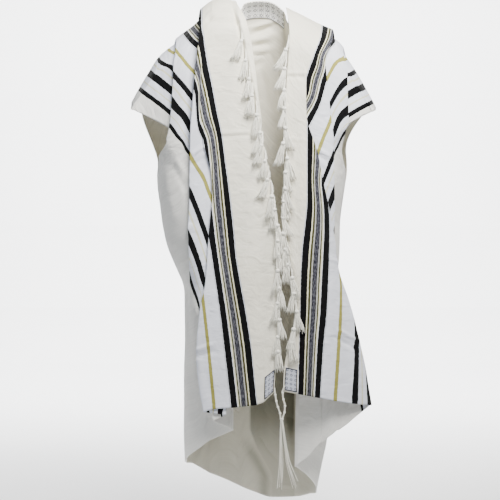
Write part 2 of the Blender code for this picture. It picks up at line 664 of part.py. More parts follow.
def build():
    for old in list(bpy.data.objects):
        bpy.data.objects.remove(old, do_unlink=True)
    scene = bpy.context.scene
    scene.unit_settings.system = "METRIC"
    scene.unit_settings.scale_length = 1.0
    cloth = bpy.data.collections.new("tallit_prayer_shawl")
    cutters = bpy.data.collections.new("cutters")
    scene.collection.children.link(cloth)
    scene.collection.children.link(cutters)
    rng = np.random.default_rng(7)

    wool = new_material("white wool", CLOTH_WHITE, 0.85)
    brocade = new_material("grey brocade", BAND_GREY, 0.7)
    yarn = new_material("cream wool yarn", FRINGE_CREAM, 0.9)

    for side in ("left", "right"):
        front, drape = ends_grid(side)
        add_sheet("front_fall_" + side, front, wool, cloth)
        add_sheet("side_drape_" + side, drape, wool, cloth)
        add_sheet("arm_flap_" + side, flap_grid(side), wool, cloth)
        corner_patch("corner_patch_front_" + side, side, front, False, brocade, cloth)
        corner_patch("corner_patch_rear_" + side, side, front, True, brocade, cloth)
        name = "fringe_front_" + side
        fringe(name, side, front, FRONT_PART, TASSELS_FRONT[side], False, yarn, cloth, cutters, rng)
        name = "fringe_rear_" + side
        fringe(name, side, front, REAR_PART, TASSELS_REAR, True, yarn, cloth, cutters, rng)

    back = back_grid(BACK_ROWS, BACK_SHARES)
    add_sheet("back_drape", back, wool, cloth)
    middle = len(BACK_SHARES) - 1
    columns = np.arange(middle - BAND_COLUMNS, middle + BAND_COLUMNS + 1)
    band = laid_on(back, (0.06, 1.0, 1.4), columns, WALL / 2 + SEAM_GAP + 0.0009 + BAND_WALL / 2)
    add_sheet("neckband", band, brocade, cloth, thick=BAND_WALL)

    left_spots = [(274, 391), (275, 398), (277, 408), (281, 419), (281, 440), (281, 462), (281, 486)]
    right_spots = [(285, 390), (284, 398), (284.5, 408), (282.5, 419), (285, 440), (288, 462), (297, 484)]
    ritual_tassel("corner_tassel_front_left", ritual_path("left", left_spots, HANG_LEFT, False), yarn, cloth, cutters, rng)
    ritual_tassel("corner_tassel_front_right", ritual_path("right", right_spots, HANG_RIGHT, False), yarn, cloth, cutters, rng)
    for side in ("left", "right"):
        out, down = edge_at(side, -1.93)
        across = ORIGIN_ACROSS + SIGN[side] * (out + 8.0)
        spots = [(across, down - 3), (across, down + 8), (across, down + 40), (across - SIGN[side], down + 70), (across, down + 98)]
        ritual_tassel("corner_tassel_rear_" + side, ritual_path(side, spots, HANG_REAR, True), yarn, cloth, cutters, rng)


build()
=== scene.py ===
"""A tallit prayer shawl of white wool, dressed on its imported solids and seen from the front.

The tables place folds, stripes and creases on the front view in view units, across and down from
its top left. One unit is 2.7 mm at the plane of the shoulders, where the part has its origin.
"""
import math

import bpy
import numpy as np
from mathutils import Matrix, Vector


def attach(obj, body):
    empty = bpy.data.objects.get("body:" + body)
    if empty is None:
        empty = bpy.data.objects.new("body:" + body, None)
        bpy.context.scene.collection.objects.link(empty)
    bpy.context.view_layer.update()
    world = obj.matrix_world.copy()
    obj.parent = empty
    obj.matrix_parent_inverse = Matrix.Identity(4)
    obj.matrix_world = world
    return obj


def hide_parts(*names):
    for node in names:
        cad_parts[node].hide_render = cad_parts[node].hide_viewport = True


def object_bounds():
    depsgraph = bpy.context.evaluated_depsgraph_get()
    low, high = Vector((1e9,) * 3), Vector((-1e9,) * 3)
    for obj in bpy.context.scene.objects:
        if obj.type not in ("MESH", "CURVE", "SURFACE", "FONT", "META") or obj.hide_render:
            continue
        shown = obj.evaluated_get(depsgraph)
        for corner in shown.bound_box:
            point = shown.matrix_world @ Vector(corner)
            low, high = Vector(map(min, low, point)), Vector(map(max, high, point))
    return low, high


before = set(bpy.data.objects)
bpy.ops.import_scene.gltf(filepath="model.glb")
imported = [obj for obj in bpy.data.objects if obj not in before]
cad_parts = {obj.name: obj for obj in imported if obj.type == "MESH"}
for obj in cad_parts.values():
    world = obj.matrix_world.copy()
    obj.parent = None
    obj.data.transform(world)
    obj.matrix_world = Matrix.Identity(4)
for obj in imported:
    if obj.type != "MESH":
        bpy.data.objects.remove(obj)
solid_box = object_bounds()

# Camera and light
# The photograph was taken from straight ahead, from chest height, with soft daylight from the
# viewer's right and a pale room around it.

UNIT = 0.0027
ORIGIN_ACROSS = 255.0
ORIGIN_DOWN = 22.0
VIEW_AWAY = 3.0
VIEW_ACROSS = 250.0
VIEW_DOWN = 250.0

eye = bpy.data.cameras.new("front_view")
eye.sensor_width = 36.0
eye.lens = 36.0 * VIEW_AWAY / (500 * UNIT)
camera = bpy.data.objects.new("front_view", eye)
camera.location = (
    (VIEW_ACROSS - ORIGIN_ACROSS) * UNIT, -VIEW_AWAY, (ORIGIN_DOWN - VIEW_DOWN) * UNIT
)
camera.rotation_euler = (math.pi / 2, 0.0, 0.0)
bpy.context.scene.collection.objects.link(camera)
bpy.context.scene.camera = camera


def add_lamp(name, size, power, colour, place, target):
    """A square soft lamp at a place, turned so that its -Z axis runs to the target."""
    lamp = bpy.data.lights.new(name, "AREA")
    lamp.size = size
    lamp.energy = power
    lamp.color = colour
    holder = bpy.data.objects.new(name, lamp)
    holder.location = place
    away = np.array(place, float) - np.array(target, float)
    flat = math.hypot(away[0], away[1])
    holder.rotation_euler = (math.atan2(flat, away[2]), 0.0, math.atan2(away[0], -away[1]))
    bpy.context.scene.collection.objects.link(holder)


add_lamp("window_right", 0.7, 82.0, (1.0, 0.98, 0.94), (0.38, -1.15, 0.75), (0.0, 0.0, -0.1))
add_lamp("room_left", 1.6, 26.0, (0.82, 0.9, 1.0), (-2.4, -1.8, 0.7), (0.0, 0.0, -0.4))
add_lamp("backdrop_left", 1.6, 520.0, (1.0, 1.0, 1.0), (-2.2, 2.4, 1.6), (0.4, 5.4, 0.0))
add_lamp("backdrop_right", 1.6, 520.0, (1.0, 1.0, 1.0), (2.2, 2.4, 1.6), (-0.4, 5.4, 0.0))
world = bpy.data.worlds.new("pale_room")
world.use_nodes = True
world.node_tree.nodes["Background"].inputs["Color"].default_value = (0.97, 0.98, 1.0, 1.0)
world.node_tree.nodes["Background"].inputs["Strength"].default_value = 0.18
bpy.context.scene.world = world

# The figure under the cloth
# Nobody is built. These give the general figure that the hollow cloth keeps the shape of.

WALL = 0.0015
SEAM_GAP = 0.0003
PLY_STEP = 0.005
FOLD_UNITS = 0.95
SIDE_ROUND = 31.0
SEAM_TURN = 0.2
EDGE_CURL = 0.0015

# Fold lines of each end: how far across each line is at each distance down.
# down, fringed edge, outer fold, its valley, last fold, inner seam, strength of fold and of valley
FOLDS = {
    "left": np.array([
        (0, 235, 214, 210.5, 200, 208, 0, 0), (21, 245, 211, 207.5, 200, 208, 0, 0),
        (45, 251, 208, 204.5, 198, 208, 0, 0), (66, 254, 206, 202.5, 195, 209, 0, 0),
        (85, 256.5, 205, 201.5, 193.4, 209.5, 0, 0), (103, 258.5, 204, 200.5, 192, 209.3, 0, 0),
        (120, 261, 204, 200.5, 190.4, 212, 0, 0), (138, 262, 204.5, 203.5, 189.7, 215, 0.6, 0.6),
        (147, 263, 205.5, 204.5, 189.4, 216, 0.65, 0.65), (160, 266, 208.5, 212, 189, 218, 1, 1),
        (171, 268, 211.3, 216, 188.8, 220, 1, 1), (197, 273.3, 212.6, 221, 188.5, 222, 1, 1),
        (226, 277, 209.7, 223, 187.2, 223, 1, 1), (243, 277.3, 208, 224, 186.8, 224, 1, 1),
        (262, 277.6, 207, 225.5, 186.7, 225, 1, 1), (285, 278, 205, 227, 184.6, 228, 1, 1),
        (305, 278, 199.6, 227, 190, 229, 1, 1), (330, 278, 197, 227, 203, 230, 1, 1),
        (360, 276.5, 195.2, 226.5, 208, 231, 1, 1), (385, 274.5, 198.3, 226, 210, 231.5, 1, 1),
        (412, 274, 203, 226, 212, 232, 1, 1), (430, 274, 206, 226, 214, 232, 1, 1),
    ]),
    "right": np.array([
        (5, 286, 308, 311.5, 333, 329, 0, 0), (24, 290, 308, 311.5, 333.5, 328, 0, 0),
        (40, 289.5, 307, 310.5, 333, 327, 0, 0), (60, 288, 306.5, 310, 325, 319, 0, 0),
        (78, 286.7, 306, 307.5, 326.5, 319, 0.6, 0.6),
        (88, 286.3, 306, 306.5, 328, 319, 0.65, 0.65), (103, 285.5, 306, 298, 330, 320, 1, 1),
        (122, 285, 306.5, 293, 332.5, 319, 1, 1), (137, 286, 313.5, 298, 334.7, 317, 1, 1),
        (150, 286.5, 318.3, 301, 336, 315, 1, 1), (171, 285, 322, 303.5, 337.3, 314.5, 1, 1),
        (186, 284.5, 325.5, 304, 338, 314, 1, 1), (203, 282, 330, 304.3, 339, 315, 1, 1),
        (218, 282.5, 334, 304.5, 339.7, 317, 1, 1), (235, 284, 337, 308, 340, 318, 1, 1),
        (252, 288, 339.5, 326, 327, 316, 1, 0.6), (262, 291, 341, 327.5, 326.5, 312, 1, 0.55),
        (285, 296, 350, 332, 323, 308, 1, 0), (310, 297, 356.5, 334, 324, 304, 1, 0),
        (330, 293, 361, 335, 323, 301.5, 1, 0), (360, 285, 367.5, 338, 324, 299.5, 1, 0),
        (385, 283, 371.5, 340, 325, 298, 1, 0), (405, 285, 375, 342, 326, 297, 1, 0),
        (466, 285, 375, 342, 326, 296, 1, 0),
    ]),
}
# How far down the front hem and the rear hem are at each of the five lines.
FRONT_HEM = {"left": (392, 412, 415, 421, 430), "right": (391.5, 405, 430, 443, 466)}
REAR_HEM = {"left": (128, 125, 124, 122, 124), "right": (128, 126, 126, 124, 125)}
# The front hem between the fringed edge and the outer fold: share of the width, down.
HEM_LINE = {
    "left": np.array([(0, 392), (0.17, 403.5), (0.24, 405), (0.62, 408), (0.87, 409), (1, 412)]),
    "right": np.array([(0, 391.5), (0.15, 394), (0.4, 398), (0.57, 401), (0.77, 404), (1, 405)]),
}
# Top of the shoulders, outermost ply: across, down.
RIDGE = {
    "left": np.array([
        (262, -6), (250, -5.5), (241, -2), (236, 2), (224, -2), (212, 0), (203, 7), (187.4, 20),
        (177.4, 27.4), (167.4, 35), (161, 39), (148.6, 50), (137.6, 68), (125.6, 88), (119.6, 100),
        (110, 118),
    ]),
    "right": np.array([
        (248, -5.5), (262, -6), (272, -5), (280, 0), (286.5, 8), (299, 13.5), (317, 23),
        (330, 28.5), (342.4, 33.5), (353, 46.6), (364, 62), (374, 79), (384.5, 98), (390, 110),
    ]),
}
# Where the cloth turns round the side: down, across, for the outer plies and for the back.
SIDE_FRONT = {
    "left": np.array([
        (0, 20), (100, 84), (112, 98), (140, 132), (162, 148), (192, 150), (222, 154), (243, 159),
        (255, 163), (288, 176), (463, 178),
    ]),
    "right": np.array([
        (0, 470), (100, 420), (110, 408), (130, 373), (146, 359), (165, 357), (182, 354),
        (202, 351), (222, 348), (240, 347.5), (250, 348), (262, 350), (272, 353), (286, 358),
        (310, 364), (338, 371), (360, 375), (405, 382), (470, 384),
    ]),
}
SIDE_BACK = {
    "left": np.array([
        (0, 98), (96, 102), (120, 124), (162, 148), (192, 150), (222, 154), (243, 159), (255, 163),
        (288, 176), (463, 178),
    ]),
    "right": np.array([
        (0, 410), (96, 406), (112, 390), (132, 369), (146, 359), (165, 357), (182, 354), (202, 351),
        (222, 348), (240, 347), (262, 346), (300, 342), (360, 337), (443, 333), (470, 328),
        (496, 323),
    ]),
}
# Depth in front of the shoulders: down, outer plies, inner plies.
DEPTH_FRONT = {
    "left": np.array(
        [(0, 0.125, 0.125), (100, 0.14, 0.14), (300, 0.14, 0.14), (430, 0.145, 0.115)]
    ),
    "right": np.array([
        (0, 0.125, 0.125), (100, 0.14, 0.14), (262, 0.14, 0.14), (330, 0.14, 0.105),
        (400, 0.145, 0.075), (466, 0.145, 0.062),
    ]),
}
DEPTH_BACK = np.array([(0, 0.10), (100, 0.125), (250, 0.12), (497, 0.14)])

SIGN = {"left": -1.0, "right": 1.0}


def eased(x):
    """0 to 1 with no kink at either end."""
    x = np.clip(x, 0.0, 1.0)
    return x * x * (3.0 - 2.0 * x)


def read(table, at, column=1, soft=5.0):
    """A table's column at a place, with its corners rounded over a few units."""
    keys = table[:, 0]
    values = table[:, column]
    if keys[0] > keys[-1]:
        keys = keys[::-1]
        values = values[::-1]
    parts = [np.interp(at + step, keys, values) for step in (-soft, 0.0, soft)]
    return (parts[0] + 2.0 * parts[1] + parts[2]) / 4.0


def outward(side, across):
    """Units outward from the middle line, on that side."""
    return SIGN[side] * (across - ORIGIN_ACROSS)


def ridge(side, out):
    """How far down the top of the shoulder is, that far outward."""
    return read(RIDGE[side], ORIGIN_ACROSS + SIGN[side] * out, soft=4.0)


def round_over(out):
    """Radius of the cloth over the shoulder, in units."""
    return 37.0 - 11.0 * eased((out - 40.0) / 80.0)


def slimmer(out):
    """How much less deep the figure is towards the arms."""
    return 1.0 - 0.33 * eased((out - 55.0) / 75.0)


def body(side, out, down, rear, side_table, depth_column):
    """The figure under the cloth as a level set, from 0 on its middle sheet to 1 on its surface."""
    turn = np.clip(1.0 - (outward(side, read(side_table, down)) - out) / SIDE_ROUND, 0.0, None)
    over = np.clip(1.0 - (down - ridge(side, out)) / round_over(out), 0.0, None)
    front = read(DEPTH_FRONT[side], down, depth_column, 10.0)
    back = read(DEPTH_BACK, down, 1, 10.0)
    depth = np.where(rear, back, front) * slimmer(out)
    return turn, over, depth


def level(side, out, y, down, rear, side_table, depth_column):
    """Value of the level set at points: the sum of the three squared shares."""
    turn, over, depth = body(side, out, down, rear, side_table, depth_column)
    return (y / depth) ** 2 + turn**2 + over**2


def place(side, lateral, down, lift, rear=False, inner=False, back_side=False):
    """Points on the worn cloth, lifted off the figure, in metres.

    lateral runs outward in units. Past the place where the side begins to turn it goes on round
    the side, and SIDE_ROUND units are one radian. The figure's depth there is the root of what
    the turn and the shoulder, both squared, leave of one. The lift runs along the steepest slope.
    """
    lateral, down, lift = np.broadcast_arrays(lateral, down, lift)
    lateral = np.asarray(lateral, float)
    down = np.asarray(down, float)
    table = SIDE_BACK[side] if back_side else SIDE_FRONT[side]
    column = 2 if inner else 1
    start = outward(side, read(table, down)) - SIDE_ROUND
    angle = np.clip((lateral - start) / SIDE_ROUND, 0.0, math.pi)
    flat = np.minimum(lateral, start)
    out = flat + SIDE_ROUND * np.sin(angle)
    behind = (angle > math.pi / 2) | rear
    turn, over, depth = body(side, out, down, behind, table, column)
    y = depth * np.sqrt(np.clip(1.0 - turn**2 - over**2, 0.0, 1.0))
    y = np.where(behind, y, -y)
    step = 0.2
    args = (behind, table, column)
    slope = np.stack([
        (level(side, out + step, y, down, *args) - level(side, out - step, y, down, *args))
        / (2 * step * UNIT),
        2 * y / depth**2,
        (level(side, out, y, down - step, *args) - level(side, out, y, down + step, *args))
        / (2 * step * UNIT),
    ], axis=-1)
    slope /= np.maximum(np.linalg.norm(slope, axis=-1, keepdims=True), 1e-9)
    x = out * UNIT * SIGN[side]
    z = (ORIGIN_DOWN - down) * UNIT
    slope[..., 0] *= SIGN[side]
    return np.stack([x, y, z], axis=-1) + slope * lift[..., None]


def seen(points):
    """The same points, drawn towards or away from the view's axis by their depth."""
    points = np.array(points, float)
    axis_x = (VIEW_ACROSS - ORIGIN_ACROSS) * UNIT
    axis_z = (ORIGIN_DOWN - VIEW_DOWN) * UNIT
    grow = 1.0 + points[..., 1] / VIEW_AWAY
    points[..., 0] = axis_x + (points[..., 0] - axis_x) * grow
    points[..., 2] = axis_z + (points[..., 2] - axis_z) * grow
    return points


def down_at(top, hem, radius, row):
    """How far down a row is: 0 to 1 goes over the shoulder, 1 to 2 straight to the hem."""
    if row <= 1.0:
        return top + radius * (1.0 - math.cos(row * math.pi / 2))
    return top + radius + (hem - top - radius) * (row - 1.0)


def over_top(row):
    """How closely a row follows the top of the shoulder: 1 over it, 0 at the hem."""
    return min(1.0, max(0.0, 2.0 - abs(row)))


def settled(side, outs, downs, base, row):
    """Distances down of points beside a fold line, kept level with it over the shoulder."""
    return np.asarray(downs) + (ridge(side, np.asarray(outs)) - np.asarray(base)) * over_top(row)


def lines_at(side, row):
    """Outward and down of the five fold lines at a row, and the strengths of fold and valley."""
    table = FOLDS[side]
    rear = row < 0
    hems = REAR_HEM[side] if rear else FRONT_HEM[side]
    outs = []
    downs = []
    for column, hem in zip(range(1, 6), hems):
        first = outward(side, table[0, column])
        top = ridge(side, first)
        down = down_at(top, hem, round_over(first), abs(row))
        at = table[0, 0] if rear else down
        out = outward(side, read(table, at, column)) + (4.0 * -row if rear else 0.0)
        outs.append(out)
        downs.append(down + (ridge(side, out) - top) * over_top(row))
    at = table[0, 0] if rear else downs[1]
    return outs, downs, read(table, at, 6), read(table, at, 7)


# Front falls
# The striped ends of one woven wool rectangle. Each lies over a shoulder in knife pleats with its
# fringed edge down the middle of the front, and reaches a hand's length down the back.

# Distance from the fringed edge, in metres, at which each woven colour begins.
STRIPES = [
    (0.0000, "cream"), (0.1165, "grey"), (0.1185, "white"), (0.1200, "black"), (0.1372, "straw"),
    (0.1418, "olive"), (0.1462, "pale grey"), (0.1496, "night"), (0.1540, "slate"),
    (0.1552, "night"), (0.1577, "slate"), (0.1589, "night"), (0.1622, "pale grey"),
    (0.1655, "olive"), (0.1692, "straw"), (0.1740, "white"), (0.1750, "black"), (0.1922, "white"),
    (0.1940, "grey"), (0.1960, "white"), (0.2408, "gold"), (0.2500, "white"), (0.2900, "black"),
    (0.3045, "white"), (0.3195, "pale gold"), (0.3245, "white"), (0.3420, "black"),
    (0.3650, "white"), (0.3815, "pale gold"), (0.3865, "white"), (0.4040, "black"),
]
LAST_STRIPE = 0.4185
RAMP_REACH = 0.45
MOTTLE_MIDDLE = 0.1561
MOTTLE_HALF = 0.0078
YARN = {
    "cream": "f3efdf", "white": "e9ecf6", "grey": "b9bac0", "black": "08080a", "straw": "e6e3c6",
    "olive": "403e22", "night": "101018", "slate": "40414c", "gold": "9a9550",
    "pale gold": "dcdabd", "pale grey": "b4b4ae",
}
DRAWN_THREAD = 0.0032

# Where threads cross the front panel: down, then across for 120, 192, 245, 304 and 365 mm of cloth.
THREAD_LINES = {
    "left": np.array([
        (0, 206, 186, 170, 154, 138), (29, 203, 184, 169, 152, 136), (66, 208, 185, 170, 153, 137),
        (100, 214, 192, 176, 159, 142), (120, 217.5, 195, 179, 162, 145),
        (141, 222, 203, 187, 170, 153), (166, 225.5, 206, 190, 173, 156),
        (182, 228, 205.5, 190, 173, 156), (206, 231, 206, 191, 174, 157),
        (240, 234.5, 209.5, 195, 178, 160), (260, 236, 212.5, 197.5, 180, 162),
        (297, 242, 217.6, 203, 185, 167), (326, 247, 221.5, 206, 188, 170),
        (355, 251.5, 225, 209, 191, 173), (405, 256.6, 231, 214, 195, 177),
        (430, 259, 233, 216, 197, 179),
    ]),
    "right": np.array([
        (5, 322, 336, 346, 359, 372), (30, 320, 338, 347, 360, 373), (45, 316, 337, 347, 360, 373),
        (60, 311, 331, 341, 355, 370), (75, 306, 327, 339, 353, 368),
        (122, 307, 328, 342, 357, 372), (150, 307, 329, 343, 358, 372),
        (182, 307, 325, 343, 358, 372), (212, 307, 329, 343, 358, 372),
        (233, 305, 330, 342.5, 357, 370), (260, 302, 329, 342, 357, 370),
        (286, 300.5, 328, 342.7, 358, 371), (326, 299.7, 326, 340, 361, 373),
        (355, 299, 323, 338, 359.5, 370), (400, 297.8, 320, 334.6, 357, 375),
        (430, 297, 319, 333, 356, 375), (466, 296, 318, 332, 355, 374),
    ]),
}
THREAD_AT = np.array([0.120, 0.192, 0.245, 0.304, 0.365])
# Beyond the last line the threads lie on by THREAD_RATE metres a unit, read BEYOND units further.
BEYOND = 40.0
THREAD_RATE = 0.0032
THREAD_ENDS = np.concatenate([[0.0], THREAD_AT, [THREAD_AT[-1] + BEYOND * THREAD_RATE]])
# Under the outer fold: down, distance in the cloth where the ply below comes out, at the last fold.
UNDER_FOLD = {
    "left": np.array([
        (29, 0.15, 0.125), (67, 0.16, 0.160), (96, 0.18, 0.205), (130, 0.205, 0.225),
        (155, 0.21, 0.245), (190, 0.235, 0.297), (230, 0.285, 0.345), (274, 0.34, 0.410),
        (316, 0.41, 0.46), (400, 0.46, 0.50),
    ]),
    "right": np.array([
        (30, 0.10, 0.155), (70, 0.115, 0.180), (88, 0.13, 0.205), (122, 0.19, 0.252),
        (150, 0.245, 0.292), (180, 0.30, 0.338), (208, 0.355, 0.380), (238, 0.41, 0.425),
        (262, 0.43, 0.45), (330, 0.46, 0.48),
    ]),
}
# Creases on the front view: across and down of both ends, half width, height in mm (minus sinks).
CREASES = {
    "left": np.array([
        (231, 3, 243, 45, 1.3, -4.6), (243, 45, 256, 108, 1.2, -4.0), (236, 4, 247, 45, 2.0, 3.0),
        (246, 45, 258, 104, 1.4, 2.6), (207, 20, 240, 24, 2.5, -3.4), (212, 14, 238, 15, 3.0, 2.2),
        (203, 9, 230, 6, 2.4, -3.2), (203, 3, 228, 0, 2.6, 2.4), (220, 133, 250, 132, 1.4, 1.4),
        (222, 137, 252, 135, 1.8, -1.2), (196, 350, 214, 344, 1.8, 2.6),
        (196, 357, 216, 351, 2.0, -2.0), (222, 344, 262, 343, 1.4, 1.0),
        (196, 330, 202, 400, 3.5, 1.4), (226, 190, 214, 290, 9.0, -1.4),
        (250, 190, 246, 300, 8.0, 1.6), (236, 60, 230, 130, 9.0, 1.4),
        (262, 220, 262, 330, 6.0, -1.6), (206, 372, 212, 400, 3.0, -1.4),
        (192, 154, 206, 146, 1.6, 1.8), (190, 165, 206, 158, 2.5, -1.4),
        (168, 252, 190, 224, 3.5, 2.6), (155, 262, 186, 236, 4.0, -2.4),
        (171, 160, 189, 178, 2.0, 2.0), (166, 166, 184, 190, 3.0, -1.8),
        (170, 290, 182, 420, 6.0, -2.4), (158, 170, 166, 220, 6.0, 2.4),
    ]),
    "right": np.array([
        (287, 73, 308, 73, 1.3, 1.6), (287, 77, 306, 77, 1.8, -1.2), (286, 139, 304, 140, 1.4, 1.0),
        (318, 149, 332, 157, 1.6, 2.4), (318, 155, 330, 163, 2.0, -1.8),
        (331, 259, 343, 263, 1.6, 2.0), (338, 330, 360, 341, 1.6, 3.0),
        (334, 337, 358, 349, 2.0, -2.4), (300, 344, 330, 343, 1.5, 0.9),
        (296, 120, 296, 260, 5.0, -1.6), (312, 290, 306, 395, 7.0, 1.6),
        (346, 270, 350, 400, 6.0, -1.8), (352, 350, 356, 402, 4.0, 1.8),
        (330, 285, 326, 400, 6.0, 1.4), (318, 40, 304, 100, 6.0, 1.2),
        (344, 170, 338, 250, 4.0, 1.8), (292, 290, 290, 390, 4.0, -1.4),
    ]),
}
PANEL_SHARES = np.array([0.0, 0.03, 0.08, 0.16, 0.27, 0.4, 0.55, 0.7, 0.85, 0.95])
PANEL_BETWEEN = (3, 3, 4, 5, 6, 7, 7, 7, 5, 4)


def rows_of(rear, over, front):
    """Rows from the rear hem at -2 over the shoulder at 0 to the front hem at 2."""
    behind = np.linspace(-2.0, -1.0, rear, endpoint=False)
    before = np.linspace(1.0, 2.0, front)[1:]
    return np.concatenate([behind, np.linspace(-1.0, 1.0, over), before])


FRONT_ROWS = rows_of(rear=18, over=52, front=220)


def front_keys(side, row):
    """A row's key columns: outward, down, base over the shoulder, lift, distance in the cloth.

    The panel runs straight from the fringed edge to the outer fold. Each key beyond it lies on a
    fold line, or some part of the way to the next one, is shifted by so many bends, and sinks by
    the plies over it. Also returned: where the thread lines cross the panel.
    """
    lines, downs, strong, deep = lines_at(side, row)
    edge, fold, valley, last, _ = lines
    share = PANEL_SHARES
    line = downs[0] + (downs[1] - downs[0]) * share
    if row > 1.0:
        hem = read(HEM_LINE[side], share, 1, 0.02)
        straight = HEM_LINE[side][0, 1] + (HEM_LINE[side][-1, 1] - HEM_LINE[side][0, 1]) * share
        line = line + (hem - straight) * (row - 1.0)
    tops = [ridge(side, out) for out in lines]
    depths = [read(DEPTH_FRONT[side], downs[4], column, 10.0) for column in (2, 1)]
    sag = 0.0 if row < 0 else float(depths[1] - depths[0])
    back_on = 1.0 - 2.0 * (strong - deep)
    last_on = 1.0 - strong + deep
    free = (1.0 - deep) * strong
    ply = strong + deep
    low = ply + last_on
    # Fold line, part of the way on, shift in bends, plies above, share of the sag.
    keys = (
        (1, 0, -1, 0, 0), (1, 0, 0, 0.5 * strong, 0), (1, 0, 1 - 2 * strong, strong, 0),
        (2, 0, 2 * strong - 1, strong, 0.35 * free), (2, 0, 0, strong + 0.5 * deep, 0.35 * free),
        (2, 0, back_on, ply, 0.35 * free), (2, 1 / 3, 0, ply, 0.4 * free),
        (2, 2 / 3, 0, ply, 0.5 * free), (3, 0, -back_on, ply, 0.6 * free),
        (3, 0, 0, ply + 0.5 * last_on, 0.6 * free), (3, 0, -1, low, 0.6 * free),
        (3, 1 / 3, 0, low, 1 / 3 + 0.4 * free), (3, 2 / 3, 0, low, 2 / 3 + 0.2 * free),
        (4, 0, 0, low, 1.0),
    )
    places = np.array([lines, downs, tops])
    at, part, shift, plies, sags = np.array(keys).T
    at = at.astype(int)
    rest = (1 - part) * places[:, at] + part * places[:, np.minimum(at + 1, 4)]
    panel = edge + (fold - FOLD_UNITS - edge) * share
    outs = np.concatenate([panel, rest[0] + FOLD_UNITS * shift])
    line = np.concatenate([line, rest[1]])
    base = np.concatenate([tops[0] + (tops[1] - tops[0]) * share, rest[2]])
    curl = -EDGE_CURL * np.clip(1.0 - share / 0.1, 0.0, 1.0) ** 2
    lifts = np.concatenate([curl, -PLY_STEP * plies - sag * sags])
    at = downs[1] if row >= 0 else THREAD_LINES[side][0, 0]
    marks = np.array(
        [outward(side, read(THREAD_LINES[side], at, column)) for column in range(1, 6)]
    )
    marks = np.concatenate([[edge], marks, [marks[-1] + BEYOND]])
    cloth = np.interp(outs, marks, THREAD_ENDS)
    top_fold = cloth[len(share) + 1]
    below = (1 - strong) * top_fold + strong * read(UNDER_FOLD[side], downs[2], 1)
    at_last = read(UNDER_FOLD[side], downs[3], 2)
    slope = (at_last - below) / max(last - fold, 4.0)
    lower = at_last - slope * (last - outs)
    first = len(share) + 3
    cloth[first:first + 3] = (1 - strong) * cloth[first:first + 3] + strong * lower[first:first + 3]
    cloth[first + 3:] = lower[first + 3:]
    cloth[first + 6:] = at_last + 0.0025 * (last - outs[first + 6:])
    return np.stack([outs, line, base, lifts, cloth]), marks


def between(counts, bends, keys):
    """Matrices that fill key columns in: straight spans, and round ones at bends of three keys."""
    spread = []
    drop = []
    key = 0
    while key < keys - 1:
        if key in bends:
            t = np.linspace(0.0, 1.0, 9)[:-1]
            bow = np.sin(math.pi * t)
            row = np.zeros((len(t), keys))
            row[:, key] = 1 - t - bow / 2
            row[:, key + 1] = bow
            row[:, key + 2] = t - bow / 2
            fall = np.zeros((len(t), keys))
            fall[:, key + 2] = (1 - np.cos(math.pi * t)) / 2
            fall[:, key] = 1 - fall[:, key + 2]
            key += 2
        else:
            t = np.linspace(0.0, 1.0, counts.get(key, 5) + 1)[:-1]
            row = np.zeros((len(t), keys))
            row[:, key] = 1 - t
            row[:, key + 1] = t
            fall = row
            key += 1
        spread.append(row)
        drop.append(fall)
    end = np.zeros((1, keys))
    end[0, -1] = 1.0
    return np.concatenate(spread + [end]), np.concatenate(drop + [end])


def creased(side, out, down):
    """Height of the creases in metres: each is a soft ridge or trough along a short line."""
    across = ORIGIN_ACROSS + SIGN[side] * out
    height = np.zeros_like(across)
    for x0, y0, x1, y1, half, mm in CREASES[side]:
        length = math.hypot(x1 - x0, y1 - y0)
        along = ((across - x0) * (x1 - x0) + (down - y0) * (y1 - y0)) / length
        aside = ((across - x0) * (y1 - y0) - (down - y0) * (x1 - x0)) / length
        fade = eased((along + half) / (2 * half)) * eased((length - along + half) / (2 * half))
        height += mm * 0.0016 * fade * np.exp(-((aside / half) ** 2))
    return height


def uneven(out, down, scale=1.0):
    """Slow uneven swells of a cloth that hangs: a few crossed waves, a millimetre or two high."""
    a = np.sin(out / 13.0 + down / 61.0) + 0.7 * np.sin(out / 8.1 - down / 37.0 + 1.3)
    b = 0.5 * np.sin(out / 21.0 + down / 23.0 + 0.6) * np.sin(down / 17.0 - out / 40.0)
    return 0.0014 * scale * (a + b)


def front_surface(side):
    """The pleated end as a grid of points, and its distances in the cloth.

    Every row's keys are filled in to columns, moved down with the shoulder's top, and set on the
    figure, lifted by the plies, the creases and two crossed waves.
    """
    rows = [front_keys(side, row) for row in FRONT_ROWS]
    keys = np.array([row[0] for row in rows])
    first = len(PANEL_SHARES)
    counts = {k: n for k, n in enumerate(PANEL_BETWEEN)}
    counts.update(
        {
            first + 2: 12, first + 5: 9, first + 6: 9, first + 7: 9, first + 10: 4, first + 11: 4,
            first + 12: 4
        }
    )
    spread, drop = between(counts, (first, first + 3, first + 8), keys.shape[2])
    outs, line, base, cloth = (keys[:, k] @ spread.T for k in (0, 1, 2, 4))
    panel = sum(PANEL_BETWEEN) + 5
    cloth[:, :panel] = np.array(
        [np.interp(out, row[1], THREAD_ENDS) for out, row in zip(outs[:, :panel], rows)]
    )
    lifts = keys[:, 3] @ drop.T
    over = np.clip(2.0 - np.abs(FRONT_ROWS), 0.0, 1.0)[:, None]
    downs = line + (ridge(side, outs) - base) * over
    rear = (FRONT_ROWS < 0)[:, None] & np.ones_like(outs, bool)
    shown = np.where(rear, 0.0, 1.0) * eased((FRONT_ROWS[:, None] - 0.2) / 0.5)
    lifts = lifts + shown * (creased(side, outs, downs) + uneven(outs, downs))
    return place(side, outs, downs, lifts, rear=rear), cloth


def travelled(grid):
    """Distance along each column of a grid, from its first row."""
    steps = np.linalg.norm(np.diff(grid, axis=0), axis=-1)
    return np.concatenate([np.zeros((1, grid.shape[1])), np.cumsum(steps, axis=0)])


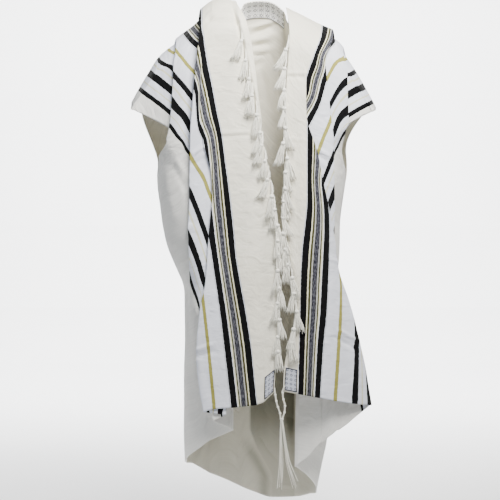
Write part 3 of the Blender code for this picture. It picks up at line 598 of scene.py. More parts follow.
def add_piece(name, points, faces, uv, material):
    """A mesh from points, four-cornered faces and one UV pair for each point."""
    mesh = bpy.data.meshes.new(name)
    mesh.from_pydata(points.tolist(), [], faces.tolist())
    layer = mesh.uv_layers.new(name="cloth")
    layer.data.foreach_set("uv", uv[faces.reshape(-1)].reshape(-1))
    mesh.polygons.foreach_set("use_smooth", np.ones(len(faces), bool))
    mesh.update()
    mesh.materials.append(material)
    piece = bpy.data.objects.new(name, mesh)
    bpy.context.scene.collection.objects.link(piece)
    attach(piece, "root")
    return piece


def add_cloth(name, grid, across, along, material, thick=0.0012):
    """A cloth from a grid: its faces, its distances as UV, and an even wall."""
    rows, columns = grid.shape[:2]
    index = np.arange(rows * columns).reshape(rows, columns)
    faces = np.stack(
        [index[:-1, :-1], index[:-1, 1:], index[1:, 1:], index[1:, :-1]], axis=-1
    ).reshape(-1, 4)
    uv = np.stack(
        [np.broadcast_to(across, grid.shape[:2]), np.broadcast_to(along, grid.shape[:2])], axis=-1
    )
    piece = add_piece(name, seen(grid).reshape(-1, 3), faces, uv.reshape(-1, 2), material)
    wall = piece.modifiers.new("wall", "SOLIDIFY")
    wall.thickness = thick
    wall.offset = 0.0
    return piece


def linear(code):
    """An sRGB hex colour as linear values."""
    values = [int(code[i:i + 2], 16) / 255 for i in (0, 2, 4)]
    return tuple(
        v / 12.92 if v <= 0.04045 else ((v + 0.055) / 1.055) ** 2.4 for v in values
    ) + (1.0,)


def add_node(tree, kind, inputs=(), **settings):
    """Adds one node, sets its fields, then gives each input a value, a node or a node's output."""
    new = tree.nodes.new("ShaderNode" + kind)
    for key, value in settings.items():
        setattr(new, key, value)
    for socket, value in dict(inputs).items():
        if isinstance(value, bpy.types.Node):
            value = value.outputs[0]
        if isinstance(value, bpy.types.NodeSocket):
            tree.links.new(value, new.inputs[socket])
        else:
            new.inputs[socket].default_value = value
    return new


def start_material(name, roughness, sheen):
    """A material with only its shader, and the shader's own flat values."""
    material = bpy.data.materials.new(name)
    material.use_nodes = True
    shader = material.node_tree.nodes["Principled BSDF"]
    shader.inputs["Roughness"].default_value = roughness
    shader.inputs["Sheen Weight"].default_value = sheen
    shader.inputs["Sheen Roughness"].default_value = 0.4
    shader.inputs["Specular IOR Level"].default_value = 0.12
    return material, material.node_tree, shader


# Worsted wool in plain weave, piece-washed: a soft matt face with a faint nap. Its stripes are
# dyed warp yarns, so they follow the cloth's own distances through every fold.
wool, tree, shader = start_material("woven_worsted_wool", 0.86, 0.08)
cloth_uv = add_node(tree, "UVMap", uv_map="cloth").outputs["UV"]
yarn_wander = add_node(tree, "TexNoise", {"Vector": cloth_uv, "Scale": 90.0, "Detail": 2.0})
wander = add_node(
    tree, "VectorMath", {0: yarn_wander.outputs["Color"], 1: (0.5, 0.5, 0.5)}, operation="SUBTRACT"
)
wander = add_node(tree, "VectorMath", {0: wander, "Scale": 0.0022}, operation="SCALE")
moved = add_node(tree, "VectorMath", {0: cloth_uv, 1: wander}, operation="ADD")
apart = add_node(tree, "SeparateXYZ", {0: moved})
share = add_node(tree, "Math", {0: apart.outputs["X"], 1: RAMP_REACH}, operation="DIVIDE")
ramp = add_node(tree, "ValToRGB", {"Fac": share})
ramp.color_ramp.interpolation = "CONSTANT"
stops = ramp.color_ramp.elements
stops[1].position = STRIPES[1][0] / RAMP_REACH
for start, _ in STRIPES[2:]:
    stops.new(start / RAMP_REACH)
for stop, (_, yarn) in zip(stops, STRIPES):
    stop.color = linear(YARN[yarn])
beyond = add_node(tree, "Math", {0: apart.outputs["X"], 1: LAST_STRIPE}, operation="GREATER_THAN")
striped = add_node(
    tree, "Mix", {0: beyond, 6: ramp.outputs["Color"], 7: linear("ecebe6")}, data_type="RGBA"
)
# Flecks in the mottled middle of the wide band: short light and dark lengths of yarn.
fleck_at = add_node(tree, "Mapping", {"Vector": cloth_uv, "Scale": (520.0, 110.0, 1.0)})
fleck = add_node(tree, "TexNoise", {"Vector": fleck_at, "Scale": 1.0, "Detail": 1.0})
fleck_on = add_node(tree, "MapRange", {0: fleck.outputs["Fac"], 1: 0.46, 2: 0.58})
from_middle = add_node(
    tree, "Math", {0: apart.outputs["X"], 1: MOTTLE_MIDDLE}, operation="SUBTRACT"
)
from_middle = add_node(tree, "Math", {0: from_middle}, operation="ABSOLUTE")
in_middle = add_node(tree, "Math", {0: from_middle, 1: MOTTLE_HALF}, operation="LESS_THAN")
fleck_part = add_node(tree, "Math", {0: fleck_on, 1: in_middle}, operation="MULTIPLY")
fleck_part = add_node(tree, "Math", {0: fleck_part, 1: 0.33}, operation="MULTIPLY")
flecked = add_node(
    tree, "Mix", {0: fleck_part, 6: striped.outputs[2], 7: linear("8a8a92")}, data_type="RGBA"
)
# Slow changes of tone, as hand washing leaves, and faint streaks along the weft.
tone = add_node(tree, "TexNoise", {"Vector": cloth_uv, "Scale": 7.0, "Detail": 3.0})
streak_at = add_node(tree, "Mapping", {"Vector": cloth_uv, "Scale": (14.0, 420.0, 1.0)})
streak = add_node(tree, "TexNoise", {"Vector": streak_at, "Scale": 1.0, "Detail": 2.0})
tones = add_node(tree, "Math", {0: tone.outputs["Fac"], 1: streak.outputs["Fac"]}, operation="ADD")
shade = add_node(tree, "MapRange", {0: tones, 1: 0.7, 2: 1.3, 3: 0.9, 4: 1.03})
toned = add_node(tree, "VectorMath", {0: flecked.outputs[2], "Scale": shade}, operation="SCALE")
tree.links.new(toned.outputs[0], shader.inputs["Base Color"])
# The real threads lie 0.5 mm apart. They are drawn 3 mm apart, so that the weave shows here.
weave_at = add_node(
    tree, "Mapping", {"Vector": cloth_uv, "Scale": (2 * math.pi / DRAWN_THREAD,) * 2 + (1.0,)}
)
weave = add_node(tree, "SeparateXYZ", {0: weave_at})
warp = add_node(tree, "Math", {0: weave.outputs["X"]}, operation="SINE")
weft = add_node(tree, "Math", {0: weave.outputs["Y"]}, operation="SINE")
crossing = add_node(tree, "Math", {0: warp, 1: weft}, operation="MULTIPLY")
nap = add_node(tree, "TexNoise", {"Vector": cloth_uv, "Scale": 260.0, "Detail": 3.0})
relief = add_node(tree, "Math", {0: crossing, 1: nap.outputs["Fac"]}, operation="ADD")
bump = add_node(tree, "Bump", {"Height": relief, "Strength": 0.35, "Distance": 0.0005})
# Small crumples from folding, 20 to 50 mm apart, longer along the warp than across it.
crumple_at = add_node(
    tree, "Mapping", {"Vector": cloth_uv, "Rotation": (0.0, 0.0, 0.5), "Scale": (24.0, 38.0, 1.0)}
)
crumple = add_node(
    tree, "TexNoise", {"Vector": crumple_at, "Scale": 1.0, "Detail": 2.5, "Distortion": 0.6}
)
crumpled = add_node(
    tree, "Bump", {"Height": crumple.outputs["Fac"], "Strength": 0.55, "Distance": 0.007}
)
tree.links.new(crumpled.outputs["Normal"], bump.inputs["Normal"])
tree.links.new(bump.outputs["Normal"], shader.inputs["Normal"])

falls = {}
for side in ("left", "right"):
    grid, cloth = front_surface(side)
    name = "pleated_fall_" + side
    piece = add_cloth(name, grid, cloth, travelled(grid), wool)
    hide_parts("front_fall_" + side)
    falls[side] = {"fall": piece, "grid": grid}

# Side drapes
# The same cloth, going on from under the last pleat, out to a fold over the arm and round the side.
# It is woven in one with the front fall, and only its folds part them.

# The side drape's outer fold above the place where it turns the side: down, across.
SIDE_FOLD = {
    "left": np.array(
        [(38, 171), (70, 171), (90, 170), (118, 168), (131, 166), (150, 160), (162, 155)]
    ),
    "right": np.array([(40, 350), (67, 349.5), (108, 351), (133, 351.5), (150, 351)]),
}
TURN_FROM = {"left": 142.0, "right": 150.0}
TURN_TO = {"left": 190.0, "right": 196.0}
SIDE_HEM = {"left": 462.0, "right": 494.0}
SIDE_REAR_HEM = {"left": 118.0, "right": 118.0}
SIDE_ROWS = rows_of(rear=12, over=44, front=160)
# Distance in the cloth at the last fold and at the arm's fold: down, metres.
THREAD_IN = {
    "left": np.array([
        (10, 0.10), (24, 0.13), (46, 0.183), (52, 0.194), (73, 0.245), (100, 0.300), (112, 0.322),
        (128, 0.350), (150, 0.384), (158, 0.410), (190, 0.470),
    ]),
    "right": np.array([
        (20, 0.16), (40, 0.185), (60, 0.210), (78, 0.240), (106, 0.297), (136, 0.353), (162, 0.411),
        (190, 0.470),
    ]),
}
THREAD_OUT = {
    "left": np.array([
        (20, 0.20), (44, 0.245), (74, 0.297), (97, 0.342), (112, 0.365), (128, 0.404), (137, 0.418),
        (162, 0.47),
    ]),
    "right": np.array([
        (20, 0.20), (54, 0.245), (80, 0.297), (112, 0.353), (136, 0.411), (165, 0.47),
    ]),
}


def side_keys(side, row):
    """A row's key columns beyond the seam, and the bend that leads to them from the seam."""
    lines, downs, strong, deep = lines_at(side, row)
    start_out, start_down = lines[4], downs[4]
    rear = row < 0
    first = outward(side, SIDE_FOLD[side][0, 1])
    hem = SIDE_REAR_HEM[side] if rear else SIDE_HEM[side]
    top = ridge(side, first)
    down = down_at(top, hem, round_over(first), abs(row))
    at = SIDE_FOLD[side][0, 0] if rear else down
    fold = outward(side, read(SIDE_FOLD[side], at)) + (4.0 * -row if rear else 0.0)
    down = down + (ridge(side, fold) - top) * over_top(row) * (1.0 if abs(row) <= 1.0 else 0.3)
    turned = 0.0 if rear else float(
        eased((down - TURN_FROM[side]) / (TURN_TO[side] - TURN_FROM[side]))
    )
    edge = outward(side, read(SIDE_BACK[side], down)) - SIDE_ROUND
    fold = (1 - turned) * fold + turned * (edge + SIDE_ROUND * math.pi / 2)
    end = (1 - turned) * (fold - 5.0) + turned * (edge + SIDE_ROUND * (math.pi / 2 + SEAM_TURN))
    folded = 1.0 - turned
    bend = FOLD_UNITS
    share = np.array([0.0, 0.12, 0.3, 0.55, 0.8])
    outs = np.concatenate(
        [
            start_out + (fold - bend - start_out) * share,
            [fold - bend, fold, fold + bend * (1 - 2 * folded), end]
        ]
    )
    line = np.concatenate([start_down + (down - start_down) * share, [down] * 4])
    lifts = np.array(
        [-5.0, -5.0, -5.0, -4.9, -4.4, -4.3, -4.3 - 0.5 * folded, -4.3 - folded, -4.3 - folded]
    ) * PLY_STEP
    ends = ridge(side, start_out), ridge(side, fold)
    base = np.concatenate([ends[0] + (ends[1] - ends[0]) * share, [ends[1]] * 4])
    at_down = downs[3] if not rear else 20.0
    inner = read(THREAD_IN[side], at_down, 1)
    outer = read(THREAD_OUT[side], down if not rear else 20.0, 1)
    reach = max(outward(side, SIDE_FOLD[side][0, 1]) - lines[3], 8.0)
    cloth = inner + (outer - inner) * (outs - lines[3]) / reach
    if turned > 0:
        cloth = np.maximum(cloth, 0.44 * turned)
    return np.stack([outs, line, base, lifts, cloth]), (turned > 0.0), start_out, start_down


def side_surface(side, front):
    """The side drape, its first columns led round from the front fall's inner seam.

    Rows are filled in and set on the figure as on the falls. A half circle from the seam leads to
    them, and the step that is left fades out as the square of the distance from it.
    """
    rows = [side_keys(side, row) for row in SIDE_ROWS]
    keys = np.array([row[0] for row in rows])
    use_back = np.array([row[1] for row in rows])[:, None]
    starts = np.array([row[2:] for row in rows])
    spread, drop = between({0: 4, 1: 6, 2: 9, 3: 9, 4: 8, 7: 6}, (5,), keys.shape[2])
    outs, line, base, cloth = (keys[:, k] @ spread.T for k in (0, 1, 2, 4))
    lifts = keys[:, 3] @ drop.T
    over = np.clip(2.0 - np.abs(SIDE_ROWS), 0.0, 1.0)[:, None]
    tucked = np.minimum(outs, keys[:, 0, 6:7])
    downs = line + (ridge(side, tucked) - base) * over
    rear = (SIDE_ROWS < 0)[:, None] & np.ones_like(outs, bool)
    shown = eased((SIDE_ROWS[:, None] - 0.2) / 0.5) * eased((outs - starts[:, :1]) / 12.0)
    lifts = lifts + shown * (creased(side, outs, downs) + uneven(outs, downs, 1.6))

    def laid(outs, downs, lifts, rear):
        turned = place(side, outs, downs, lifts, rear=rear, inner=True, back_side=True)
        loose = place(side, outs, downs, lifts, rear=rear, inner=True)
        return np.where(use_back[..., None], turned, loose)

    points = laid(outs, downs, lifts, rear)
    seam = np.stack([np.interp(SIDE_ROWS, FRONT_ROWS, front[:, -1, k]) for k in range(3)], axis=-1)
    before = np.stack(
        [np.interp(SIDE_ROWS, FRONT_ROWS, front[:, -2, k]) for k in range(3)], axis=-1
    )
    along = seam - before
    along /= np.linalg.norm(along, axis=1, keepdims=True)
    start_rear = (SIDE_ROWS < 0)[:, None]
    away = place(side, starts[:, :1], starts[:, 1:], -0.001, rear=start_rear)
    away = away - place(side, starts[:, :1], starts[:, 1:], 0.0, rear=start_rear)
    away = away[:, 0] / np.linalg.norm(away[:, 0], axis=1, keepdims=True)
    t = np.linspace(0.0, math.pi, 9)
    depth = PLY_STEP * 1.7
    bow = seam[:, None] + along[:, None] * (0.0018 + 0.0020 * np.sin(t))[None, :, None]
    bow = bow + away[:, None] * (depth * (1 - np.cos(t)) / 2)[None, :, None]
    share = np.clip((outs - outs[:, :1]) / np.maximum(keys[:, 0, 5:6] - outs[:, :1], 1.0), 0.0, 1.0)
    points = points + (bow[:, -1:] - points[:, :1]) * ((1 - share) ** 2)[..., None]
    grid = np.concatenate([seam[:, None], bow[:, :-1], points], axis=1)
    cloth = np.concatenate([np.repeat(cloth[:, :1], 9, axis=1), cloth], axis=1)
    return grid, cloth


for side in ("left", "right"):
    grid, cloth = side_surface(side, falls[side]["grid"])
    piece = add_cloth("drape_at_side_" + side, grid, cloth, travelled(grid), wool)
    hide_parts("side_drape_" + side)
    falls[side]["drape"] = piece

# Arm flaps
# The same wool cloth. Where it spreads over each upper arm it stands out in a short open fold, with
# its stripes running down and inward. It goes on under the side drape.

# The arm flap: across at its hidden edge and its tip, down at its front, rear and tip ends.
FLAP = {
    "left": {"inner": 174.5, "tip": 121.0, "front": 133.0, "rear": 110.0, "tip_down": 104.0},
    "right": {"inner": 346.5, "tip": 386.0, "front": 140.0, "rear": 112.0, "tip_down": 106.0},
}
# Distance in the cloth on a flap: down at its inner edge of the 297 mm line, metres a unit, slope.
FLAP_THREADS = {"left": (69.0, 0.00243, 0.80, 171.0), "right": (75.0, 0.00270, 0.62, 349.0)}


def flap_surface(side):
    """The flap as a fan of rows from its rear lower edge over the arm to its front one.

    A row goes down a quarter circle from the shoulder's top and then straight. Each column keeps
    the first one's share of the way, between its own top and a low edge that slants to the tip.
    """
    flap = FLAP[side]
    inner = outward(side, flap["inner"])
    tip = outward(side, flap["tip"])
    share = np.linspace(0.0, 1.0, 42) ** 1.15
    out = (inner + (tip - inner) * share)[None]
    rows = np.concatenate(
        [np.linspace(-2.0, 0.0, 36, endpoint=False), np.linspace(0.0, 2.0, 56)]
    )[:, None]
    low = np.where(rows < 0, flap["rear"], flap["front"])
    first_top = ridge(side, inner)
    radius = round_over(inner)
    over = first_top + radius * (1.0 - np.cos(np.minimum(np.abs(rows), 1.0) * math.pi / 2))
    down_first = np.where(
        np.abs(rows) <= 1.0, over,
        first_top + radius + (low - first_top - radius) * (np.abs(rows) - 1.0)
    )
    fall = (down_first - first_top) / (low - first_top)
    top = ridge(side, out)
    low = low + (flap["tip_down"] - low) * share[None]
    down = top + (low - top) * fall
    rear = (rows < 0) & np.ones_like(down, bool)
    lift = -6.4 * PLY_STEP + uneven(out, down, 1.5) * np.clip(rows, 0.0, 1.0)
    grid = place(side, np.broadcast_to(out, down.shape), down, lift, rear=rear)
    first, rate, slope, at = FLAP_THREADS[side]
    across = ORIGIN_ACROSS + SIGN[side] * out
    cloth = 0.297 + (down + slope * SIGN[side] * (across - at) - first) * rate
    return grid, np.where(rear, 0.26, cloth)


for side in ("left", "right"):
    grid, cloth = flap_surface(side)
    piece = add_cloth(
        "flap_over_arm_" + side, grid, cloth, travelled(grid.transpose(1, 0, 2)).T, wool
    )
    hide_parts("arm_flap_" + side)
    falls[side]["flap"] = piece

# Back drape
# The plain middle of the same wool cloth, hanging from the back of the neck and the shoulders in
# soft upright waves. Its inner face shows between the two falls.

TIP_IN = 17.0
# The back hem: across, down.
BACK_HEM = np.array([(176, 462), (218, 476), (247, 489), (270, 497), (316, 496), (330, 494)])


def back_half(side, shares, rows):
    """One half of the back: share 0 is the middle line, 1 the side seam, rows as on the falls.

    A column goes down a quarter circle from the shoulder's top and then straight to the hem. It
    spreads from the tip of the flap to the side's turn, and lies under as many plies as are there.
    Three sine waves fold it, and each wrinkle is a bell across its line and along it.
    """
    share = shares[None]
    row = rows[:, None]
    tip = outward(side, FLAP[side]["tip"]) - TIP_IN
    top_out = share * tip
    neck = 1.0 - eased((np.abs(top_out - outward(side, 260.0)) - 18.0) / 26.0)
    first = 0.16 + 0.21 * neck + 0.26 * eased((share - 0.72) / 0.25)
    at = np.where(row <= 1.0, first + (1.0 - first) * row, 1.0)
    radius = round_over(top_out)
    top = ridge(side, top_out)
    guess = top + radius * (1.0 - np.cos(at * math.pi / 2))
    wide_low = outward(side, read(SIDE_BACK[side], 470.0))
    hem = read(BACK_HEM, ORIGIN_ACROSS + SIGN[side] * np.minimum(share * 1.2, 1.0) * wide_low)
    guess = np.where(row > 1.0, top + radius + (hem - top - radius) * (row - 1.0), guess)
    start = outward(side, read(SIDE_BACK[side], guess)) - SIDE_ROUND
    turn = math.pi / 2 - SEAM_TURN - 0.16 * (1.0 - eased((guess - 150.0) / 30.0))
    end = tip + (start + SIDE_ROUND * turn - tip) * eased((guess - 104.0) / 34.0)
    lateral = share * end
    past = np.maximum(lateral - start, 0.0)
    flat = lateral
    lateral = np.where(past > 0, start + SIDE_ROUND * math.pi - past, lateral)
    low = eased((guess - 120.0) / 60.0)
    cover = eased((np.abs(top_out - outward(side, 264.0)) - 20.0) / 12.0)
    plies = (0.6 + 7.6 * cover) * (1 - low) + 4.3 * low
    wave = 0.013 * eased((guess - 260.0) / 230.0) * np.cos((SIGN[side] * lateral - 4.0) / 11.0)
    free = np.clip((start - flat) / 12.0, 0.0, 1.0)
    slant = SIGN[side] * flat
    small = 0.0045 * eased((guess - 60.0) / 120.0) * np.sin((slant + 3.0) / 5.2 + guess / 90.0)
    broad = 0.0065 * eased((guess - 50.0) / 160.0) * np.sin(slant / 8.7 + 1.1 - guess / 140.0)
    small = small + broad
    across = ORIGIN_ACROSS + slant
    wrinkle = sum(
        mm * 0.001 * np.exp(-(((across - x) * c + (guess - y) * s) / half) ** 2)
        * np.exp(-(((across - x) * s - (guess - y) * c) / reach) ** 2)
        for x, y, c, s, half, reach, mm in NECK_WRINKLES
    )
    lift = -PLY_STEP * plies + (wave + small) * free + wrinkle
    return place(side, lateral, guess, lift, rear=True, back_side=True)


# Wrinkles under the neckband: across, down, direction across, half width, reach, height in mm.
NECK_WRINKLES = (
    (260, 31, 0.36, 0.93, 2.6, 11.0, 10.0), (262, 24, 0.30, 0.95, 2.4, 14.0, -6.0),
    (262, 38, 0.30, 0.95, 2.8, 12.0, -9.0), (261, 45, 0.10, 0.99, 2.6, 10.0, 8.0),
    (263, 50, 0.20, 0.98, 2.4, 9.0, -7.0), (258, 55, 0.10, 0.99, 2.0, 9.0, 6.0),
    (254, 66, 0.45, 0.89, 3.0, 12.0, 7.0), (275, 66, -0.95, 0.3, 2.4, 14.0, 7.0),
    (266, 90, -0.97, 0.2, 3.0, 22.0, 6.0), (280, 100, -0.98, 0.15, 2.6, 26.0, -6.0),
)
half_shares = np.linspace(0.0, 1.0, 70)
back_rows = np.concatenate([np.linspace(0.0, 1.0, 40, endpoint=False), np.linspace(1.0, 2.0, 200)])
left_half = back_half("left", half_shares, back_rows)
right_half = back_half("right", half_shares, back_rows)
middle = (left_half[:, :1] + right_half[:, :1]) / 2
back = np.concatenate([left_half[:, :0:-1], middle, right_half[:, 1:]], axis=1)
plain = np.full(back.shape[:2], 0.03) + travelled(back.transpose(1, 0, 2)).T * 0.05
back_piece = add_cloth("plain_back", back, plain, travelled(back), wool)

# The inner face of the same wool, with shade painted on it. The lamps alone leave these folds
# lighter than in the photo, so an olive-grey tone is mixed in by a given factor, on places read
# off the front view. The cloth isn't greyed there, and no light moves this shade.
shaded_inner_face = wool.copy()
shaded_inner_face.name = "woven_worsted_wool_inner_face_painted_shade"
tree = shaded_inner_face.node_tree
shader = tree.nodes["Principled BSDF"]
face_colour = shader.inputs["Base Color"].links[0].from_socket
painted_shade = add_node(tree, "Attribute", attribute_name="painted_shade")
shaded = add_node(
    tree, "Mix", {0: painted_shade.outputs["Fac"], 6: face_colour, 7: linear("656456")},
    data_type="RGBA"
)
tree.links.new(shaded.outputs[2], shader.inputs["Base Color"])
# Painted shade on the inner face: darker towards the bottom, and darker still inside the flute,
# along its right edge and just left of its lower curve.
view_x = ORIGIN_ACROSS + seen(back)[..., 0] / UNIT
view_y = ORIGIN_DOWN - seen(back)[..., 2] / UNIT
fold_left = np.interp(view_y, [405, 436, 456, 473, 484], [249, 249, 256.5, 266, 272])
inside_fold = eased((view_x - fold_left) / 2.0) * eased((297.0 - view_x) / 1.5)
low = eased((view_y - 150.0) / 230.0)
fading = 0.50 - 0.36 * eased((view_y - 410.0) / 60.0)
dark = 0.38 * low + inside_fold * eased((view_y - 330.0) / 60.0) * fading
at_edge = np.exp(-((view_x - 292.0) / 5.0) ** 2) * eased((view_y - 380.0) / 20.0)
dark = dark + 0.35 * inside_fold * at_edge * eased((470.0 - view_y) / 60.0)
under_fold = np.exp(-((view_x - fold_left + 7.0) / 6.0) ** 2) * eased((view_y - 440.0) / 25.0)
dark = dark + 0.30 * (1.0 - inside_fold) * under_fold
layer = back_piece.data.attributes.new("painted_shade", "FLOAT", "POINT")
layer.data.foreach_set("value", np.clip(dark, 0.0, 1.0).reshape(-1))
back_piece.data.materials.append(shaded_inner_face)
back_piece.modifiers["wall"].material_offset = 1
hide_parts("back_drape")


def laid_on(grid, rows, columns, lift):
    """Points on a sheet, moved out square to it: rows and columns count the grid's points.

    Places and normals are mixed from the four points around, by the share of the way each way.
    """
    down = np.gradient(grid, axis=0)
    across = np.gradient(grid, axis=1)
    normal = np.cross(across, down)
    normal /= np.maximum(np.linalg.norm(normal, axis=-1, keepdims=True), 1e-12)
    rows, columns = np.broadcast_arrays(rows, columns)
    i = np.clip(rows.astype(int), 0, grid.shape[0] - 2)
    j = np.clip(columns.astype(int), 0, grid.shape[1] - 2)
    u = (rows - i)[..., None]
    v = (columns - j)[..., None]

    def mixed(field):
        top = field[i, j] * (1 - v) + field[i, j + 1] * v
        low = field[i + 1, j] * (1 - v) + field[i + 1, j + 1] * v
        return top * (1 - u) + low * u

    out = mixed(normal)
    out /= np.maximum(np.linalg.norm(out, axis=-1, keepdims=True), 1e-12)
    return mixed(grid) + out * np.asarray(lift)[..., None]


# Neckband
# A strip of grey and white brocade sewn over the top edge at the back of the neck, to keep the
# cloth clean and show its upper side. Its ground carries rows of small woven lozenges.

BAND_HALF = 0.088
BAND_COUNT = 90
band_rows = np.linspace(0.4, 24.0, 30)[:, None]
centre = len(half_shares) - 1
reach = travelled(back.transpose(1, 0, 2)).T
reach = reach[12] - reach[12, centre]
band_columns = np.interp(
    np.linspace(-BAND_HALF, BAND_HALF, BAND_COUNT), reach, np.arange(back.shape[1])
)[None]
band = laid_on(back, band_rows, band_columns, np.full((len(band_rows), BAND_COUNT), -0.0018))
# Two colours of fine cotton yarn in a figured weave, pressed smooth.
brocade, tree, shader = start_material("grey_and_white_brocade", 0.62, 0.15)
band_uv = add_node(tree, "UVMap", uv_map="cloth").outputs["UV"]
at = add_node(tree, "SeparateXYZ", {0: band_uv})


def lozenges(tree, at, pitch, size, half):
    """1 inside lozenges set on a square pitch, 0 outside: a sum of two folded distances."""
    parts = []
    for axis, offset in (("X", 0.0), ("Y", half)):
        step = add_node(tree, "Math", {0: at.outputs[axis], 1: offset}, operation="ADD")
        folded = add_node(tree, "Math", {0: step, 1: pitch / 2}, operation="PINGPONG")
        parts.append(folded)
    total = add_node(tree, "Math", {0: parts[0], 1: parts[1]}, operation="ADD")
    return add_node(tree, "Math", {0: total, 1: size}, operation="LESS_THAN")


big = lozenges(tree, at, 0.017, 0.0056, 0.0)
small = lozenges(tree, at, 0.017, 0.0026, 0.0)
between_big = lozenges(tree, at, 0.0057, 0.0014, 0.0028)
ring = add_node(tree, "Math", {0: big, 1: small}, operation="SUBTRACT")
motif = add_node(tree, "Math", {0: ring, 1: between_big}, operation="MAXIMUM")
fine_at = add_node(tree, "Mapping", {"Vector": band_uv, "Scale": (700.0, 330.0, 1.0)})
fine = add_node(tree, "TexNoise", {"Vector": fine_at, "Scale": 1.0, "Detail": 2.0})
broken = add_node(tree, "MapRange", {0: fine.outputs["Fac"], 1: 0.38, 2: 0.55, 3: 0.25, 4: 0.95})
motif = add_node(tree, "Math", {0: motif, 1: broken}, operation="MULTIPLY")


def figure(tree, shader, tones, height, strength, distance):
    """Colours a shader by a factor and two tones, and raises it by a height."""
    coloured = add_node(tree, "Mix", tones, data_type="RGBA")
    raised = add_node(tree, "Bump", {"Height": height, "Strength": strength, "Distance": distance})
    tree.links.new(coloured.outputs[2], shader.inputs["Base Color"])
    tree.links.new(raised.outputs["Normal"], shader.inputs["Normal"])


tones = {0: motif, 6: linear("fbfbfb"), 7: linear("26272e")}
figure(tree, shader, tones, motif, 0.5, 0.0006)
band_along = np.linspace(-BAND_HALF, BAND_HALF, BAND_COUNT)[None] + 0.0 * band_rows
band_piece = add_cloth("neckband_brocade", band, band_along, travelled(band), brocade, 0.001)
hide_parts("neckband")

# The band's cord edge: grey cotton yarn, twisted and stitched on along its lower side.


def tubes(paths, radii):
    """Closed strands from paths (strands by points by 3): a ring of four points square to each."""
    count, steps = paths.shape[:2]
    radii = np.broadcast_to(radii, (count, steps))
    ahead = np.gradient(paths, axis=1)
    ahead /= np.maximum(np.linalg.norm(ahead, axis=-1, keepdims=True), 1e-9)
    pick = np.where(
        np.abs(ahead[..., :1]) > 0.8, np.array([0.0, 1.0, 0.0]), np.array([1.0, 0.0, 0.0])
    )
    first = np.cross(ahead, pick)
    first /= np.maximum(np.linalg.norm(first, axis=-1, keepdims=True), 1e-9)
    second = np.cross(ahead, first)
    turn = np.arange(4) * 2 * math.pi / 4
    turns = turn[:, None]
    ring = first[:, :, None] * np.cos(turns) + second[:, :, None] * np.sin(turns)
    points = paths[:, :, None] + ring * radii[:, :, None, None]
    index = np.arange(count * steps * 4).reshape(count, steps, 4)
    around = np.roll(index, -1, axis=2)
    walls = np.stack(
        [index[:, :-1], around[:, :-1], around[:, 1:], index[:, 1:]], axis=-1
    ).reshape(-1, 4)
    caps = np.concatenate([index[:, 0, ::-1], index[:, -1]]).reshape(-1, 4)
    length = travelled(paths.transpose(1, 0, 2)).T[..., None]
    uv = np.stack([turn * radii[..., None], np.broadcast_to(length, index.shape)], axis=-1)
    return points.reshape(-1, 3), np.concatenate([walls, caps]), uv.reshape(-1, 2)


def joined(parts):
    """Several sets of points, faces and UV pairs as one."""
    shifts = np.cumsum([0] + [len(part[0]) for part in parts[:-1]])
    points = np.concatenate([part[0] for part in parts])
    faces = np.concatenate([part[1] + shift for part, shift in zip(parts, shifts)])
    return points, faces, np.concatenate([part[2] for part in parts])


binding, tree, shader = start_material("twisted_grey_yarn", 0.75, 0.2)
shader.inputs["Base Color"].default_value = linear("77777c")
edge_line = seen(
    laid_on(back, np.full(BAND_COUNT, 24.3), band_columns[0], np.full(BAND_COUNT, -0.0022))
)[None]
points, faces, uv = tubes(edge_line, 0.0009)
edge_piece = add_piece("neckband_binding", points, faces, uv, binding)

# Corner patches
# Squares of stiff grey brocade, sewn flat over each corner to bear the pull of its tassel, with a
# dark corded outline.

PATCH_ACROSS = {"front": 0.034, "rear": 0.060}
PATCH_TALL = 0.062
PATCH_COLUMNS = 26
PATCH_ROWS = 34


def patch_grid(side, grid, rear):
    """A patch on the fringed corner of a fall: its size stepped off along the fall's own points."""
    along = travelled(grid)
    row = 0 if rear else grid.shape[0] - 1
    rows = np.abs(along[:, 8] - along[row, 8])
    wide = travelled(grid[row - 6 if not rear else row + 6][:, None]).T[0]
    size = PATCH_ACROSS["rear" if rear else "front"]
    columns = np.interp(
        np.linspace(0.0035, 0.0035 + size, PATCH_COLUMNS), wide, np.arange(grid.shape[1])
    )[None]
    order = np.argsort(rows)
    tall = np.interp(
        np.linspace(0.004, 0.004 + PATCH_TALL, PATCH_ROWS), rows[order],
        np.arange(grid.shape[0])[order]
    )[:, None]
    u = np.linspace(-1.0, 1.0, PATCH_COLUMNS)[None]
    v = np.linspace(-1.0, 1.0, PATCH_ROWS)[:, None]
    crown = 0.0013 + 0.0007 * (1 - u**6) * (1 - v**6)
    return laid_on(grid, tall, columns, -SIGN[side] * crown)


# Brocade as on the neckband with smaller lozenges, closely machine-stitched so that it is stiff.
patch_cloth, tree, shader = start_material("stitched_grey_brocade", 0.65, 0.15)
patch_uv = add_node(tree, "UVMap", uv_map="cloth").outputs["UV"]
at = add_node(tree, "SeparateXYZ", {0: patch_uv})
rings = lozenges(tree, at, 0.012, 0.0042, 0.0)
inside = lozenges(tree, at, 0.012, 0.0020, 0.0)
ring = add_node(tree, "Math", {0: rings, 1: inside}, operation="SUBTRACT")
tones = {0: ring, 6: linear("bcc0cc"), 7: linear("5c5f6c")}
figure(tree, shader, tones, ring, 0.4, 0.0005)
